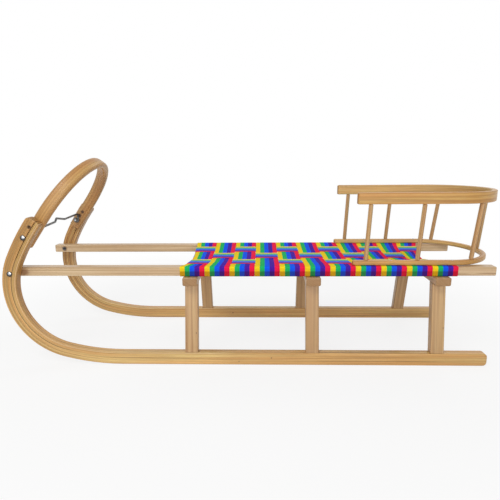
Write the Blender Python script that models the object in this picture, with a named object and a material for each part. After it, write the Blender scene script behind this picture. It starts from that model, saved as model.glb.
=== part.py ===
# Horned wooden sled with a woven webbing seat and a bentwood backrest.
# Metres. X runs from the horns (minus) to the back (plus), Y across, Z up. The rider's left is -Y.

import math

import bmesh
import bpy
from mathutils import Matrix, Vector

GAP = 0.0003                 # clearance between pieces that touch
OVERSHOOT = 0.001            # how far a cutter passes a face

# Runners, measured forward from their rear end
RUNNER_TRACK = 0.329         # over both outer faces
RUNNER_THICKNESS = 0.0204
RUNNER_HEIGHT = 0.031
RUNNER_STRAIGHT = 0.885
SWEEP_RADIUS = 0.54          # first gentle rise of the centre line
SWEEP_ANGLE = math.radians(15)
BEND_RADIUS = 0.163          # the steam-bent nose
BEND_ANGLE = math.radians(102)
HORN_RADIUS = 0.57           # the nearly straight horn above it
HORN_ANGLE = math.radians(11.2)
HORN_SWELL = 0.0045          # the section is this much higher at the horn's end than before the bend
RUNNER_END_ROUND = 0.010
HORN_TIP_ROUND = 0.007
WOOD_EDGE = 0.0016           # rounded long edges
KERF_WIDTH = 0.0008          # saw cut that lets the horn bend
KERF_LENGTH = 0.105
KERF_OFFSET = 0.0052         # behind the horn's centre line

# Steel shoes let into the undersides
SHOE_WIDTH = 0.014
SHOE_THICKNESS = 0.0025
SHOE_PROUD = 0.001           # stands out below the wood
SHOE_END_MARGIN = 0.012      # from the runner's rear end
SHOE_SWEEP_SHARE = 0.8       # how far it follows the first rise

# Trestles: distances forward from the runners' rear end
TRESTLES = {"rear": 0.1154, "middle": 0.4191, "front": 0.7139}
LEG_WIDTH = 0.0318
LEG_DEPTH = 0.0204
LEG_SPLAY = math.radians(12.1)
LEG_EDGE = 0.0022
TENON_LENGTH = 0.012
TENON_SHOULDER = 0.005       # set back on every side
CROSSBAR_LENGTH = 0.310
CROSSBAR_WIDTH = 0.035
CROSSBAR_HEIGHT = 0.0207
CROSSBAR_EDGE = 0.004

# Seat rails
RAIL_THICKNESS = 0.0253
RAIL_HEIGHT = 0.0218
RAIL_TOP = 0.2421            # above the wood of the runners
RAIL_REAR = 0.0088           # behind the runners' rear end
RAIL_NOSE = 0.0286           # forward of the bolt at the horn
RAIL_EDGE = 0.0025

# Grab loop, lapped on the inner faces of the horns
LOOP_STOCK = 0.018           # across the bend
LOOP_WIDTH = 0.032           # along the bend's axis
LOOP_EDGE = 0.0055
LOOP_LEAN = math.radians(54)
LOOP_LEG = 0.060             # from the horn bolt to the start of the bow
LOOP_BOW = 0.149             # height of the bow above that
LOOP_TAIL = 0.024            # below the horn bolt
LOOP_SET_BACK = 0.003        # behind the horn bolt's centre

# Fasteners
BOLT_RADIUS = 0.0025
BOLT_HEAD_RADIUS = 0.0065
BOLT_HEAD_HEIGHT = 0.0036
BOLT_SPARE = 0.002           # thread beyond the nut
HORN_BOLT_DROP = 0.0406       # below the end of the horn's centre line
NUT_WIDTH = 0.008            # across flats
NUT_HEIGHT = 0.004
LAP_NAIL_RADIUS = 0.0014
LAP_NAIL_HEIGHT = 0.0255     # above the horn bolt
LAP_NAIL_RECESS = 0.0015
SCREW_RADIUS = 0.002
SCREW_HEAD_RADIUS = 0.0036
SCREW_HEAD_DEPTH = 0.0024
SCREW_BITE = 0.012           # into the last piece

# Pull rod between the horns
ROD_RADIUS = 0.0028
ROD_CORNER = 0.005           # bend between an arm and the run
ROD_EYE_GAP = math.radians(100)
ROD_LEFT_RISE = 0.008        # the run's ends above the bolts
ROD_RIGHT_RISE = 0.018
# the hand-bent kink in the middle: across, and above the bolts
ROD_KINK = ((-0.0127, 0.0191), (-0.0044, 0.0238), (0.0342, 0.0148))

# Webbing
STRAP_THICKNESS = 0.0012
STRAP_PITCH = 0.0598
STRAP_WIDTH = 0.0568
CROSS_STRAPS = 11
WEB_FRONT = 0.7383           # front edge at the rails, forward of the runners' rear end
FRONT_DRAW = 0.018           # how far the lengthwise straps draw the front edge back between the rails
FRONT_DRAW_PASSED = 0.4      # share of it that each cross strap passes on to the next
REAR_DRAW = 0.044            # the same for the rear edge, which comes forward
REAR_DRAW_PASSED = 0.55
DRAW_MARGIN = 0.001          # level strap left between a rounded edge and the drawn stretch
LONG_STRAP_SPACING = 0.074
LONG_STRAPS = 3
STRAP_TUCK = 0.004           # strap end inside the rail's inner edge
STRAP_SLOPE = 0.010          # run of each rise or dip across the seat

# Backrest
HOOP_WIDTH = 0.012
HOOP_HEIGHT = 0.012
HOOP_FRONT = 0.3265          # arm ends, forward of the runners' rear end
HOOP_ARM_END = 0.0875
HOOP_BOW = 0.1242
HOOP_EDGE = 0.003
BAND_THICKNESS = 0.012
BAND_HEIGHT = 0.0268
BAND_TOP = 0.4158            # above the wood of the runners
BAND_FRONT = 0.321
BAND_ARM_END = 0.080
BAND_BOW = 0.1276
BAND_EDGE = 0.0028
SPINDLE_RADIUS = 0.0052
SPINDLE_TENON = 0.0035
SPINDLE_SHOULDER = 0.0008    # room for the lean under the shoulders
HOOP_TENON_DEPTH = 0.007
BAND_TENON_DEPTH = 0.014
# foot and head of each pair, forward of the runners' rear end
SPINDLES = {"front": (0.2945, 0.2885), "middle": (0.173, 0.165), "rear": (0.043, 0.029)}
BACK_SCREWS = {"front": 0.236, "rear": 0.091}

# Derived places
RUNNER_OUTER = RUNNER_TRACK / 2
RUNNER_INNER = RUNNER_OUTER - RUNNER_THICKNESS
RAIL_OUTER = RUNNER_INNER - GAP
RAIL_INNER = RAIL_OUTER - RAIL_THICKNESS
RAIL_MIDDLE = RAIL_OUTER - RAIL_THICKNESS / 2
RAIL_BOTTOM = RAIL_TOP - RAIL_HEIGHT
RAIL_BOLT_HEIGHT = RAIL_TOP - RAIL_HEIGHT / 2
CROSSBAR_TOP = RAIL_BOTTOM - STRAP_THICKNESS - 2 * GAP
CROSSBAR_BOTTOM = CROSSBAR_TOP - CROSSBAR_HEIGHT
LOOP_OUTER = RUNNER_INNER - GAP
LOOP_INNER = LOOP_OUTER - LOOP_STOCK
STRAP_TOP = RAIL_TOP + GAP + STRAP_THICKNESS
BACK_HALF_WIDTH = RAIL_MIDDLE + HOOP_WIDTH / 2
SIDES = {"left": -1, "right": 1}

# Materials: colour, roughness, metallic
FINISHES = {
    "beech": ((0.62, 0.41, 0.22, 1), 0.45, 0.0),
    "pale_beech": ((0.66, 0.47, 0.29, 1), 0.55, 0.0),
    "steel": ((0.55, 0.56, 0.58, 1), 0.35, 1.0),
    "webbing": ((0.08, 0.16, 0.72, 1), 0.85, 0.0),
}


def clear_scene():
    for item in list(bpy.data.objects):
        bpy.data.objects.remove(item, do_unlink=True)


def make_materials():
    made = {}
    for name, (colour, roughness, metallic) in FINISHES.items():
        material = bpy.data.materials.new(name)
        material.use_nodes = True
        shader = material.node_tree.nodes["Principled BSDF"]
        shader.inputs["Base Color"].default_value = colour
        shader.inputs["Roughness"].default_value = roughness
        shader.inputs["Metallic"].default_value = metallic
        material.diffuse_color = colour
        made[name] = material
    return made


def add_object(name, data, finish, parent, matrix=Matrix()):
    item = bpy.data.objects.new(name, data)
    bpy.context.collection.objects.link(item)
    item.parent = parent
    item.matrix_local = matrix
    if finish:
        data.materials.append(MATERIALS[finish])
    return item


def add_empty(name, parent, location):
    empty = bpy.data.objects.new(name, None)
    bpy.context.collection.objects.link(empty)
    empty.parent = parent
    empty.location = location
    return empty


def solid(name, bm, finish, matrix=Matrix(), edge=0.0, segments=2):
    mesh = bpy.data.meshes.new(name)
    bm.to_mesh(mesh)
    bm.free()
    mesh.shade_smooth()
    mesh.set_sharp_from_angle(angle=math.radians(35))
    item = add_object(name, mesh, finish, ROOT, matrix)
    if edge:
        bevel = item.modifiers.new("Rounded edges", "BEVEL")
        bevel.width = edge
        bevel.segments = segments
        bevel.limit_method = "ANGLE"
        bevel.angle_limit = math.radians(50)
    return item


def cut(item, bm, label):
    if not bm.faces:
        bm.free()
        return
    cutter = solid(f"{item.name}_{label}", bm, None)
    cutter.hide_render = True
    cutter.display_type = "WIRE"
    boolean = item.modifiers.new(label, "BOOLEAN")
    boolean.operation = "DIFFERENCE"
    boolean.object = cutter


# Shapes

def along(axis):
    # turns local Z onto the given direction
    return Vector(axis).to_track_quat("Z", "Y").to_matrix().to_4x4()


def loft(bm, rings):
    loops = [[bm.verts.new(point) for point in ring] for ring in rings]
    for lower, upper in zip(loops, loops[1:]):
        for i in range(len(lower)):
            j = (i + 1) % len(lower)
            bm.faces.new((lower[i], lower[j], upper[j], upper[i]))
    bm.faces.new(loops[0][::-1])
    bm.faces.new(loops[-1])


def box(bm, low, high):
    (x0, y0, z0), (x1, y1, z1) = low, high
    corners = ((x0, y0), (x1, y0), (x1, y1), (x0, y1))
    loft(bm, [[(x, y, z) for x, y in corners] for z in (z0, z1)])


def plate(bm, outline, thickness):
    # a flat outline in local XY, extruded along local Z
    area = sum(u * outline[i - 1][1] - v * outline[i - 1][0] for i, (u, v) in enumerate(outline))
    corners = outline if area < 0 else outline[::-1]
    loft(bm, [[(u, v, w) for u, v in corners] for w in (0, thickness)])


def turned(bm, profile, matrix=Matrix(), segments=12):
    # a profile of (radius, height), bottom to top on its outer side, spun about local Z
    existing = set(bm.verts)
    rows = [bm.verts.new(matrix @ Vector((radius, 0, height))) for radius, height in reversed(profile)]
    edges = [bm.edges.new(pair) for pair in zip(rows, rows[1:])]
    centre = matrix @ Vector((0, 0, 0))
    axis = matrix.to_3x3() @ Vector((0, 0, 1))
    bmesh.ops.spin(bm, geom=rows + edges, cent=centre, axis=axis, angle=math.tau, steps=segments, use_merge=True)
    bmesh.ops.remove_doubles(bm, verts=[vert for vert in bm.verts if vert not in existing], dist=0.00001)


def rod_profile(radius, low, high):
    return [(0, low), (radius, low), (radius, high), (0, high)]


def ring_profile(hole, outer, low, high):
    return [(hole, low), (outer, low), (outer, high), (hole, high), (hole, low)]


def round_corner(before, corner, after, radius, steps=4):
    corner = Vector(corner)
    to_before = (Vector(before) - corner).normalized()
    to_after = (Vector(after) - corner).normalized()
    half = to_before.angle(to_after) / 2
    reach = radius / math.tan(half)
    centre = corner + (to_before + to_after).normalized() * (radius / math.sin(half))
    start = corner + to_before * reach - centre
    turn = (corner + to_after * reach - centre)
    total = start.angle_signed(turn)
    points = []
    for i in range(steps + 1):
        spoke = start.copy()
        spoke.rotate(Matrix.Rotation(-total * i / steps, 2))
        points.append(tuple(centre + spoke))
    return points


def rounded(outline, radii, steps=4):
    # radii gives a radius for some corners, by index
    result = []
    count = len(outline)
    for i, point in enumerate(outline):
        if i in radii:
            result += round_corner(outline[i - 1], point, outline[(i + 1) % count], radii[i], steps)
        else:
            result.append(tuple(point))
    return result


def arc_path(start, heading, runs, step=math.radians(8)):
    # runs are ("line", length) or ("arc", radius, angle), the arcs turning right
    point = Vector(start)
    points = [point.copy()]
    headings = [heading]
    for run in runs:
        if run[0] == "line":
            point = point + Vector((math.cos(heading), math.sin(heading))) * run[1]
            points.append(point.copy())
            headings.append(heading)
            continue
        radius, angle = run[1:]
        centre = point + Vector((math.sin(heading), -math.cos(heading))) * radius
        count = max(2, math.ceil(angle / step))
        for i in range(1, count + 1):
            turn = heading - angle * i / count
            point = centre - Vector((math.sin(turn), -math.cos(turn))) * radius
            points.append(point.copy())
            headings.append(turn)
        heading -= angle
    return points, headings


def ribbon(points, headings, halves, offset=0.0):
    # outline of a band along a path; its half width is one value, or one for each point
    if isinstance(halves, float):
        halves = [halves] * len(points)
    normals = [Vector((-math.sin(h), math.cos(h))) for h in headings]
    one = [p + n * (offset + half) for p, n, half in zip(points, normals, halves)]
    other = [p + n * (offset - half) for p, n, half in zip(points, normals, halves)]
    return one + other[::-1]


def strip(points, half):
    # outline of a strap along a polyline, mitred at each point
    points = [Vector(p) for p in points]
    one, other = [], []
    for i, point in enumerate(points):
        before = (point - points[i - 1]).normalized() if i else None
        after = (points[i + 1] - point).normalized() if i < len(points) - 1 else None
        direction = ((before or after) + (after or before)).normalized()
        normal = Vector((-direction.y, direction.x))
        reach = half / normal.dot(Vector((-(after or before).y, (after or before).x)))
        one.append(point + normal * reach)
        other.append(point - normal * reach)
    return one + other[::-1]


# Frames that lay a flat outline into the sled
SIDE_VIEW = Matrix.Rotation(math.pi / 2, 4, "X")                                  # x, z; out to -Y
FRONT_VIEW = Matrix.Rotation(math.pi / 2, 4, "Z") @ Matrix.Rotation(math.pi / 2, 4, "X")  # y, z; out to +X


def side_frame(side, outer, thickness):
    # an outline in X and Z whose plate fills from the outer face inward
    y = outer if side > 0 else thickness - outer
    return Matrix.Translation((0, y, 0)) @ SIDE_VIEW


def cross_hole(bm, x, z, radius, y0, y1, segments=12):
    matrix = Matrix.Translation((x, 0, z)) @ along((0, 1, 0))
    turned(bm, rod_profile(radius, y0, y1), matrix, segments)


def upright_hole(bm, x, y, radius, z0, z1, segments=8):
    turned(bm, rod_profile(radius, z0, z1), Matrix.Translation((x, y, 0)), segments)


# Runner path and the points taken from it

def runner_path():
    runs = [("line", RUNNER_STRAIGHT), ("arc", SWEEP_RADIUS, SWEEP_ANGLE),
            ("arc", BEND_RADIUS, BEND_ANGLE), ("arc", HORN_RADIUS, HORN_ANGLE)]
    return arc_path((0, RUNNER_HEIGHT / 2), math.pi, runs)


def runner_half(heading):
    # half the section's height, which grows along the nose and the horn
    share = (math.pi - SWEEP_ANGLE - heading) / (BEND_ANGLE + HORN_ANGLE)
    return (RUNNER_HEIGHT + HORN_SWELL * min(1, max(0, share))) / 2


def horn_centre():
    # centre of the circle that the horn follows
    x = -RUNNER_STRAIGHT - (SWEEP_RADIUS - BEND_RADIUS) * math.sin(SWEEP_ANGLE)
    z = RUNNER_HEIGHT / 2 + SWEEP_RADIUS - (SWEEP_RADIUS - BEND_RADIUS) * math.cos(SWEEP_ANGLE)
    nose = Vector((x, z))
    turned_so_far = SWEEP_ANGLE + BEND_ANGLE
    horn = nose + Vector((math.sin(turned_so_far), math.cos(turned_so_far))) * (HORN_RADIUS - BEND_RADIUS)
    return nose, horn


def horn_x(height):
    # X of the runner's centre line at a height on the nose or the horn
    nose, horn = horn_centre()
    change = nose.y - BEND_RADIUS * math.cos(SWEEP_ANGLE + BEND_ANGLE)
    centre, radius = (nose, BEND_RADIUS) if height < change else (horn, HORN_RADIUS)
    return centre.x - math.sqrt(radius ** 2 - (height - centre.y) ** 2)


def horn_bolt():
    # X and Z of the bolts that hold the grab loop and carry the pull rod
    points, _ = runner_path()
    height = points[-1].y - HORN_BOLT_DROP
    return horn_x(height), height


def rail_front():
    return RAIL_NOSE - horn_x(RAIL_BOLT_HEIGHT)


def front_reach():
    nose, _ = horn_centre()
    return max(rail_front(), BEND_RADIUS + runner_half(math.pi / 2) - nose.x)


def rear_reach():
    return max(RAIL_REAR, BAND_BOW - BAND_ARM_END, HOOP_BOW - HOOP_ARM_END)


def leg_y(z):
    # centre of a leg at a height, without its side's sign
    return RUNNER_OUTER - LEG_DEPTH / 2 - math.tan(LEG_SPLAY) * (z - RUNNER_HEIGHT)


def leg_ring(x, side, z, half_width, half_depth):
    # a level section of a leg or its tenon, its corners cut off
    y = side * leg_y(z)
    short_width, short_depth = half_width - LEG_EDGE, half_depth - LEG_EDGE
    corners = []
    for u, v in ((-1, -1), (1, -1), (1, 1), (-1, 1)):
        pair = [(u * half_width, v * short_depth), (u * short_width, v * half_depth)]
        corners += pair if u == v else pair[::-1]
    return [(x + a, y + b, z) for a, b in corners]


def tenon_hole(bm, x, side, low, high):
    half_width = LEG_WIDTH / 2 - TENON_SHOULDER + GAP
    half_depth = LEG_DEPTH / 2 - TENON_SHOULDER + GAP
    loft(bm, [leg_ring(x, side, z, half_width, half_depth) for z in (low, high)])


def shoe_path():
    runs = [("line", RUNNER_STRAIGHT - SHOE_END_MARGIN), ("arc", SWEEP_RADIUS, SWEEP_ANGLE * SHOE_SWEEP_SHARE)]
    return arc_path((-SHOE_END_MARGIN, RUNNER_HEIGHT / 2), math.pi, runs, math.radians(4))


def lap_nail_place():
    z = horn_bolt()[1] + LAP_NAIL_HEIGHT
    return horn_x(z), z


# Runners, shoes and legs

def make_runner(side_name):
    side = SIDES[side_name]
    points, headings = runner_path()
    outline = ribbon(points, headings, [runner_half(heading) for heading in headings])
    count = len(points)
    radii = {0: RUNNER_END_ROUND, 2 * count - 1: RUNNER_END_ROUND, count - 1: HORN_TIP_ROUND, count: HORN_TIP_ROUND}
    bm = bmesh.new()
    plate(bm, rounded(outline, radii), RUNNER_THICKNESS)
    runner = solid(f"runner_{side_name}", bm, "beech", side_frame(side, RUNNER_OUTER, RUNNER_THICKNESS), edge=WOOD_EDGE)

    holes = bmesh.new()
    for distance in TRESTLES.values():
        tenon_hole(holes, -distance, side, RUNNER_HEIGHT - TENON_LENGTH - GAP, RUNNER_HEIGHT + OVERSHOOT)
    low, high = sorted((side * (RUNNER_INNER - OVERSHOOT), side * (RUNNER_OUTER + OVERSHOOT)))
    cross_hole(holes, *horn_bolt(), BOLT_RADIUS + GAP, low, high)
    cross_hole(holes, horn_x(RAIL_BOLT_HEIGHT), RAIL_BOLT_HEIGHT, BOLT_RADIUS + GAP, low, high)
    nail_x, nail_z = lap_nail_place()
    cross_hole(holes, nail_x, nail_z, LAP_NAIL_RADIUS + GAP, low, high, 8)
    cut(runner, holes, "holes")

    kerf = bmesh.new()
    last = headings[-1]
    tip = points[-1] + Vector((math.cos(last), math.sin(last))) * OVERSHOOT
    slit_angle = KERF_LENGTH / HORN_RADIUS
    _, centre = horn_centre()
    turns = [last + slit_angle * i / 4 for i in range(5)]
    slit = [tip] + [centre - Vector((math.sin(t), -math.cos(t))) * HORN_RADIUS for t in turns]
    outline = ribbon(slit, [last] + turns, KERF_WIDTH / 2, -KERF_OFFSET)
    width = RUNNER_THICKNESS + 2 * OVERSHOOT
    plate(kerf, outline, width)
    bmesh.ops.transform(kerf, matrix=side_frame(side, RUNNER_OUTER + OVERSHOOT, width), verts=kerf.verts)
    cut(runner, kerf, "kerf")

    groove = bmesh.new()
    points, headings = shoe_path()
    depth = SHOE_THICKNESS - SHOE_PROUD + GAP
    outline = ribbon(points, headings, depth, RUNNER_HEIGHT / 2)
    width = SHOE_WIDTH + 2 * GAP
    plate(groove, outline, width)
    middle = RUNNER_OUTER - RUNNER_THICKNESS / 2
    bmesh.ops.transform(groove, matrix=side_frame(side, middle + width / 2, width), verts=groove.verts)
    cut(runner, groove, "shoe_groove")


def make_shoe(side_name):
    side = SIDES[side_name]
    points, headings = shoe_path()
    outline = ribbon(points, headings, SHOE_THICKNESS / 2, RUNNER_HEIGHT / 2 + SHOE_PROUD - SHOE_THICKNESS / 2)
    outline = [(u - GAP if i in (0, len(outline) - 1) else u, v) for i, (u, v) in enumerate(outline)]
    bm = bmesh.new()
    plate(bm, outline, SHOE_WIDTH)
    middle = RUNNER_OUTER - RUNNER_THICKNESS / 2
    solid(f"runner_shoe_{side_name}", bm, "steel", side_frame(side, middle + SHOE_WIDTH / 2, SHOE_WIDTH))


def screw_profile(length, grow=0.0):
    # countersunk, its flat head at height 0 and its tip at the given length
    under = -OVERSHOOT if grow else GAP
    head, shank = SCREW_HEAD_RADIUS + grow, SCREW_RADIUS + grow
    rows = [(0, under), (head, under)]
    if grow:
        rows.append((head, 0))
    rows += [(shank, SCREW_HEAD_DEPTH), (shank, length), (0, length)]
    return rows


def make_leg(place_name, side_name):
    x = -TRESTLES[place_name]
    side = SIDES[side_name]
    low, high = RUNNER_HEIGHT + GAP, CROSSBAR_BOTTOM - GAP
    full = (LEG_WIDTH / 2, LEG_DEPTH / 2)
    tenon = (full[0] - TENON_SHOULDER, full[1] - TENON_SHOULDER)
    levels = [(low - TENON_LENGTH, tenon), (low, tenon), (low, full), (high, full), (high, tenon),
              (high + TENON_LENGTH, tenon)]
    origin = Vector((x, side * leg_y(low), low))
    bm = bmesh.new()
    loft(bm, [[Vector(p) - origin for p in leg_ring(x, side, z, *size)] for z, size in levels])
    solid(f"leg_{place_name}_{side_name}", bm, "pale_beech", Matrix.Translation(origin))


# Crossbars and seat rails

def make_crossbar(place_name):
    x = -TRESTLES[place_name]
    bm = bmesh.new()
    half = CROSSBAR_WIDTH / 2
    box(bm, (-half, -CROSSBAR_LENGTH / 2, CROSSBAR_BOTTOM), (half, CROSSBAR_LENGTH / 2, CROSSBAR_TOP))
    bar = solid(f"crossbar_{place_name}", bm, "pale_beech", Matrix.Translation((x, 0, 0)), edge=CROSSBAR_EDGE)
    holes = bmesh.new()
    for side in SIDES.values():
        tenon_hole(holes, x, side, CROSSBAR_BOTTOM - OVERSHOOT, CROSSBAR_BOTTOM + TENON_LENGTH + GAP)
        upright_hole(holes, x, side * RAIL_MIDDLE, SCREW_RADIUS + GAP,
                     CROSSBAR_TOP - SCREW_BITE - GAP, CROSSBAR_TOP + OVERSHOOT)
    cut(bar, holes, "holes")


def make_rail(side_name):
    side = SIDES[side_name]
    bm = bmesh.new()
    low, high = sorted((side * RAIL_INNER, side * RAIL_OUTER))
    middle = side * RAIL_MIDDLE
    box(bm, (-rail_front(), low - middle, RAIL_BOTTOM), (RAIL_REAR, high - middle, RAIL_TOP))
    rail = solid(f"seat_rail_{side_name}", bm, "pale_beech", Matrix.Translation((0, middle, 0)), edge=RAIL_EDGE)
    holes = bmesh.new()
    cross_hole(holes, horn_x(RAIL_BOLT_HEIGHT), RAIL_BOLT_HEIGHT, BOLT_RADIUS + GAP, low - OVERSHOOT, high + OVERSHOOT)
    for distance in TRESTLES.values():
        place = Matrix.Translation((-distance, middle, RAIL_TOP - GAP)) @ Matrix.Rotation(math.pi, 4, "X")
        turned(holes, screw_profile(RAIL_HEIGHT + OVERSHOOT, GAP), place, 10)
    for distance in BACK_SCREWS.values():
        upright_hole(holes, -distance, middle, SCREW_RADIUS + GAP, RAIL_TOP - SCREW_BITE - GAP, RAIL_TOP + OVERSHOOT)
    cut(rail, holes, "holes")


def make_rail_screws():
    for side_name, side in SIDES.items():
        for place_name, distance in TRESTLES.items():
            bm = bmesh.new()
            turned(bm, screw_profile(RAIL_TOP - GAP - CROSSBAR_TOP + SCREW_BITE), Matrix(), 8)
            place = Matrix.Translation((-distance, side * RAIL_MIDDLE, RAIL_TOP - GAP))
            solid(f"rail_screw_{place_name}_{side_name}", bm, "steel", place @ Matrix.Rotation(math.pi, 4, "X"))


# Grab loop and what fastens it

def loop_frame():
    # local X across the sled, local Y up the loop, origin at the horn bolts
    up = Vector((math.cos(LOOP_LEAN), 0, math.sin(LOOP_LEAN)))
    across = Vector((0, 1, 0))
    out = across.cross(up)
    turn = Matrix((across, up, out)).transposed().to_4x4()
    x, z = horn_bolt()
    place = Vector((x, 0, z)) + out * (LOOP_SET_BACK - LOOP_WIDTH / 2)
    return Matrix.Translation(place) @ turn


def make_grab_loop():
    half = LOOP_OUTER - LOOP_STOCK / 2
    steps = 18
    points = [Vector((-half, -LOOP_TAIL))]
    headings = [math.pi / 2]
    for i in range(steps + 1):
        turn = math.pi * i / steps
        points.append(Vector((-half * math.cos(turn), LOOP_LEG + LOOP_BOW * math.sin(turn))))
        headings.append(math.atan2(LOOP_BOW * math.cos(turn), half * math.sin(turn)))
    points.append(Vector((half, -LOOP_TAIL)))
    headings.append(-math.pi / 2)
    bm = bmesh.new()
    plate(bm, ribbon(points, headings, LOOP_STOCK / 2), LOOP_WIDTH)
    loop = solid("grab_loop", bm, "beech", loop_frame(), edge=LOOP_EDGE, segments=3)
    holes = bmesh.new()
    reach = LOOP_OUTER + OVERSHOOT
    cross_hole(holes, *horn_bolt(), BOLT_RADIUS + GAP, -reach, reach)
    nail_x, nail_z = lap_nail_place()
    cross_hole(holes, nail_x, nail_z, LAP_NAIL_RADIUS + GAP, -reach, reach, 8)
    cut(loop, holes, "holes")


def make_lap_nails():
    nail_x, nail_z = lap_nail_place()
    length = RUNNER_OUTER - LOOP_INNER - 2 * LAP_NAIL_RECESS
    for side_name, side in SIDES.items():
        bm = bmesh.new()
        turned(bm, rod_profile(LAP_NAIL_RADIUS, 0, length), Matrix(), 8)
        place = Matrix.Translation((nail_x, side * (RUNNER_OUTER - LAP_NAIL_RECESS), nail_z))
        solid(f"lap_nail_{side_name}", bm, "steel", place @ along((0, -side, 0)))


def bolt_profile(length):
    # dome head outside height 0, shank from 0 to its length
    steps = 4
    dome = []
    for i in range(steps):
        turn = math.pi / 2 * (1 - i / steps)
        dome.append((BOLT_HEAD_RADIUS * math.cos(turn), -GAP - BOLT_HEAD_HEIGHT * math.sin(turn)))
    dome[0] = (0, -GAP - BOLT_HEAD_HEIGHT)
    return dome + [(BOLT_HEAD_RADIUS, -GAP), (BOLT_RADIUS, -GAP), (BOLT_RADIUS, length), (0, length)]


def bolt_frame(side, x, z):
    # origin on the runner's outer face, local Z pointing inward
    return Matrix.Translation((x, side * RUNNER_OUTER, z)) @ along((0, -side, 0))


def make_bolts(kind, x, z, seat):
    # seat is how far inside the runner's outer face the nut lies
    length = seat + NUT_HEIGHT + BOLT_SPARE
    corner = NUT_WIDTH / 2 / math.cos(math.pi / 6)
    bore = (BOLT_RADIUS + GAP) / math.cos(math.pi / 6)
    for side_name, side in SIDES.items():
        bm = bmesh.new()
        turned(bm, bolt_profile(length), Matrix(), 16)
        solid(f"{kind}_bolt_{side_name}", bm, "steel", bolt_frame(side, x, z))
        bm = bmesh.new()
        turned(bm, ring_profile(bore, corner, seat, seat + NUT_HEIGHT), Matrix(), 6)
        solid(f"{kind}_bolt_nut_{side_name}", bm, "steel", bolt_frame(side, x, z))


def rod_end(side, rise):
    # an eye round the bolt, an arm standing behind it and the corner into the run
    eye = BOLT_RADIUS + GAP + ROD_RADIUS
    plane = LOOP_INNER - GAP - ROD_RADIUS
    steps = 10
    points = []
    for i in range(steps + 1):
        turn = ROD_EYE_GAP + (math.tau - ROD_EYE_GAP) * i / steps
        points.append(Vector((eye * math.cos(turn), side * plane, eye * math.sin(turn))))
    for i in range(5):
        turn = math.pi / 2 * i / 4
        inward = ROD_CORNER * (1 - math.cos(turn))
        points.append(Vector((eye, side * (plane - inward), rise - ROD_CORNER + ROD_CORNER * math.sin(turn))))
    return points


def make_pull_rod():
    # the rod turns on the horn bolts, and its axis empty lies on their common line
    x, z = horn_bolt()
    axis = add_empty("pull_rod_axis", ROOT, (x, 0, z))
    left = rod_end(-1, ROD_LEFT_RISE)
    right = rod_end(1, ROD_RIGHT_RISE)
    kink = [Vector((left[-1].x, y, rise)) for y, rise in ROD_KINK]
    points = left + kink + right[::-1]
    curve = bpy.data.curves.new("pull_rod", "CURVE")
    curve.dimensions = "3D"
    curve.bevel_depth = ROD_RADIUS
    curve.bevel_resolution = 2
    curve.use_fill_caps = True
    spline = curve.splines.new("POLY")
    spline.points.add(len(points) - 1)
    for knot, point in zip(spline.points, points):
        knot.co = (*point, 1)
    add_object("pull_rod", curve, "steel", axis)


# Woven seat

def strap_centre(index):
    # X of a cross strap's middle, counted from the front
    return -WEB_FRONT + STRAP_PITCH * (index + 0.5)


def long_strap_rows():
    return [(row - (LONG_STRAPS - 1) / 2) * LONG_STRAP_SPACING for row in range(LONG_STRAPS)]


def long_is_over(row, index):
    # outer lengthwise straps lie over the first cross strap
    return (row + index) % 2 == 0


def weave_step():
    return (STRAP_THICKNESS + GAP) / 2


def front_draw_zone():
    # distance from the sled's middle where the front edge starts to be drawn in, and where it is fully so
    return RAIL_OUTER - RAIL_EDGE - DRAW_MARGIN, RAIL_INNER + DRAW_MARGIN


def rear_draw_zone():
    # the same for the rear edge, which the hoop holds down on the rails
    return RAIL_MIDDLE - HOOP_WIDTH / 2, long_strap_rows()[-1] + row_half()


def row_half():
    # half of the level stretch where a cross strap meets a lengthwise one
    return STRAP_WIDTH / 2 + (LONG_STRAP_SPACING - STRAP_WIDTH - STRAP_SLOPE) / 2


def drawn(line, y):
    # how far a line between two cross straps moves along X; line 0 is the seat's front edge
    front = FRONT_DRAW * FRONT_DRAW_PASSED ** line
    rear = REAR_DRAW * REAR_DRAW_PASSED ** (CROSS_STRAPS - line)
    shares = []
    for start, end in (front_draw_zone(), rear_draw_zone()):
        shares.append(min(1, max(0, (start - abs(y)) / (start - end))))
    return front * shares[0] - rear * shares[1]


def corner_arc(centre, radius, start, end, steps=3):
    points = []
    for i in range(steps + 1):
        turn = start + (end - start) * i / steps
        points.append((centre[0] + radius * math.cos(turn), centre[1] + radius * math.sin(turn)))
    return points


def cross_strap_path(index):
    # Y and Z of the strap's middle line, from under the left rail to under the right one
    offset = GAP + STRAP_THICKNESS / 2
    radius = RAIL_EDGE + offset
    y = RAIL_OUTER - RAIL_EDGE
    wrap = [(RAIL_INNER + STRAP_TUCK, RAIL_BOTTOM - offset)]
    wrap += corner_arc((y, RAIL_BOTTOM + RAIL_EDGE), radius, -math.pi / 2, 0)
    wrap += corner_arc((y, RAIL_TOP - RAIL_EDGE), radius, 0, math.pi / 2)
    level = RAIL_TOP + offset
    wrap += [(y, level) for y in (front_draw_zone()[0], rear_draw_zone()[0], front_draw_zone()[1], RAIL_INNER)]
    step = weave_step()
    path = [(-a, b) for a, b in wrap]
    for row, middle in enumerate(long_strap_rows()):
        height = level - step if long_is_over(row, index) else level + step
        path += [(middle - row_half(), height), (middle + row_half(), height)]
    return path + wrap[::-1]


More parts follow.
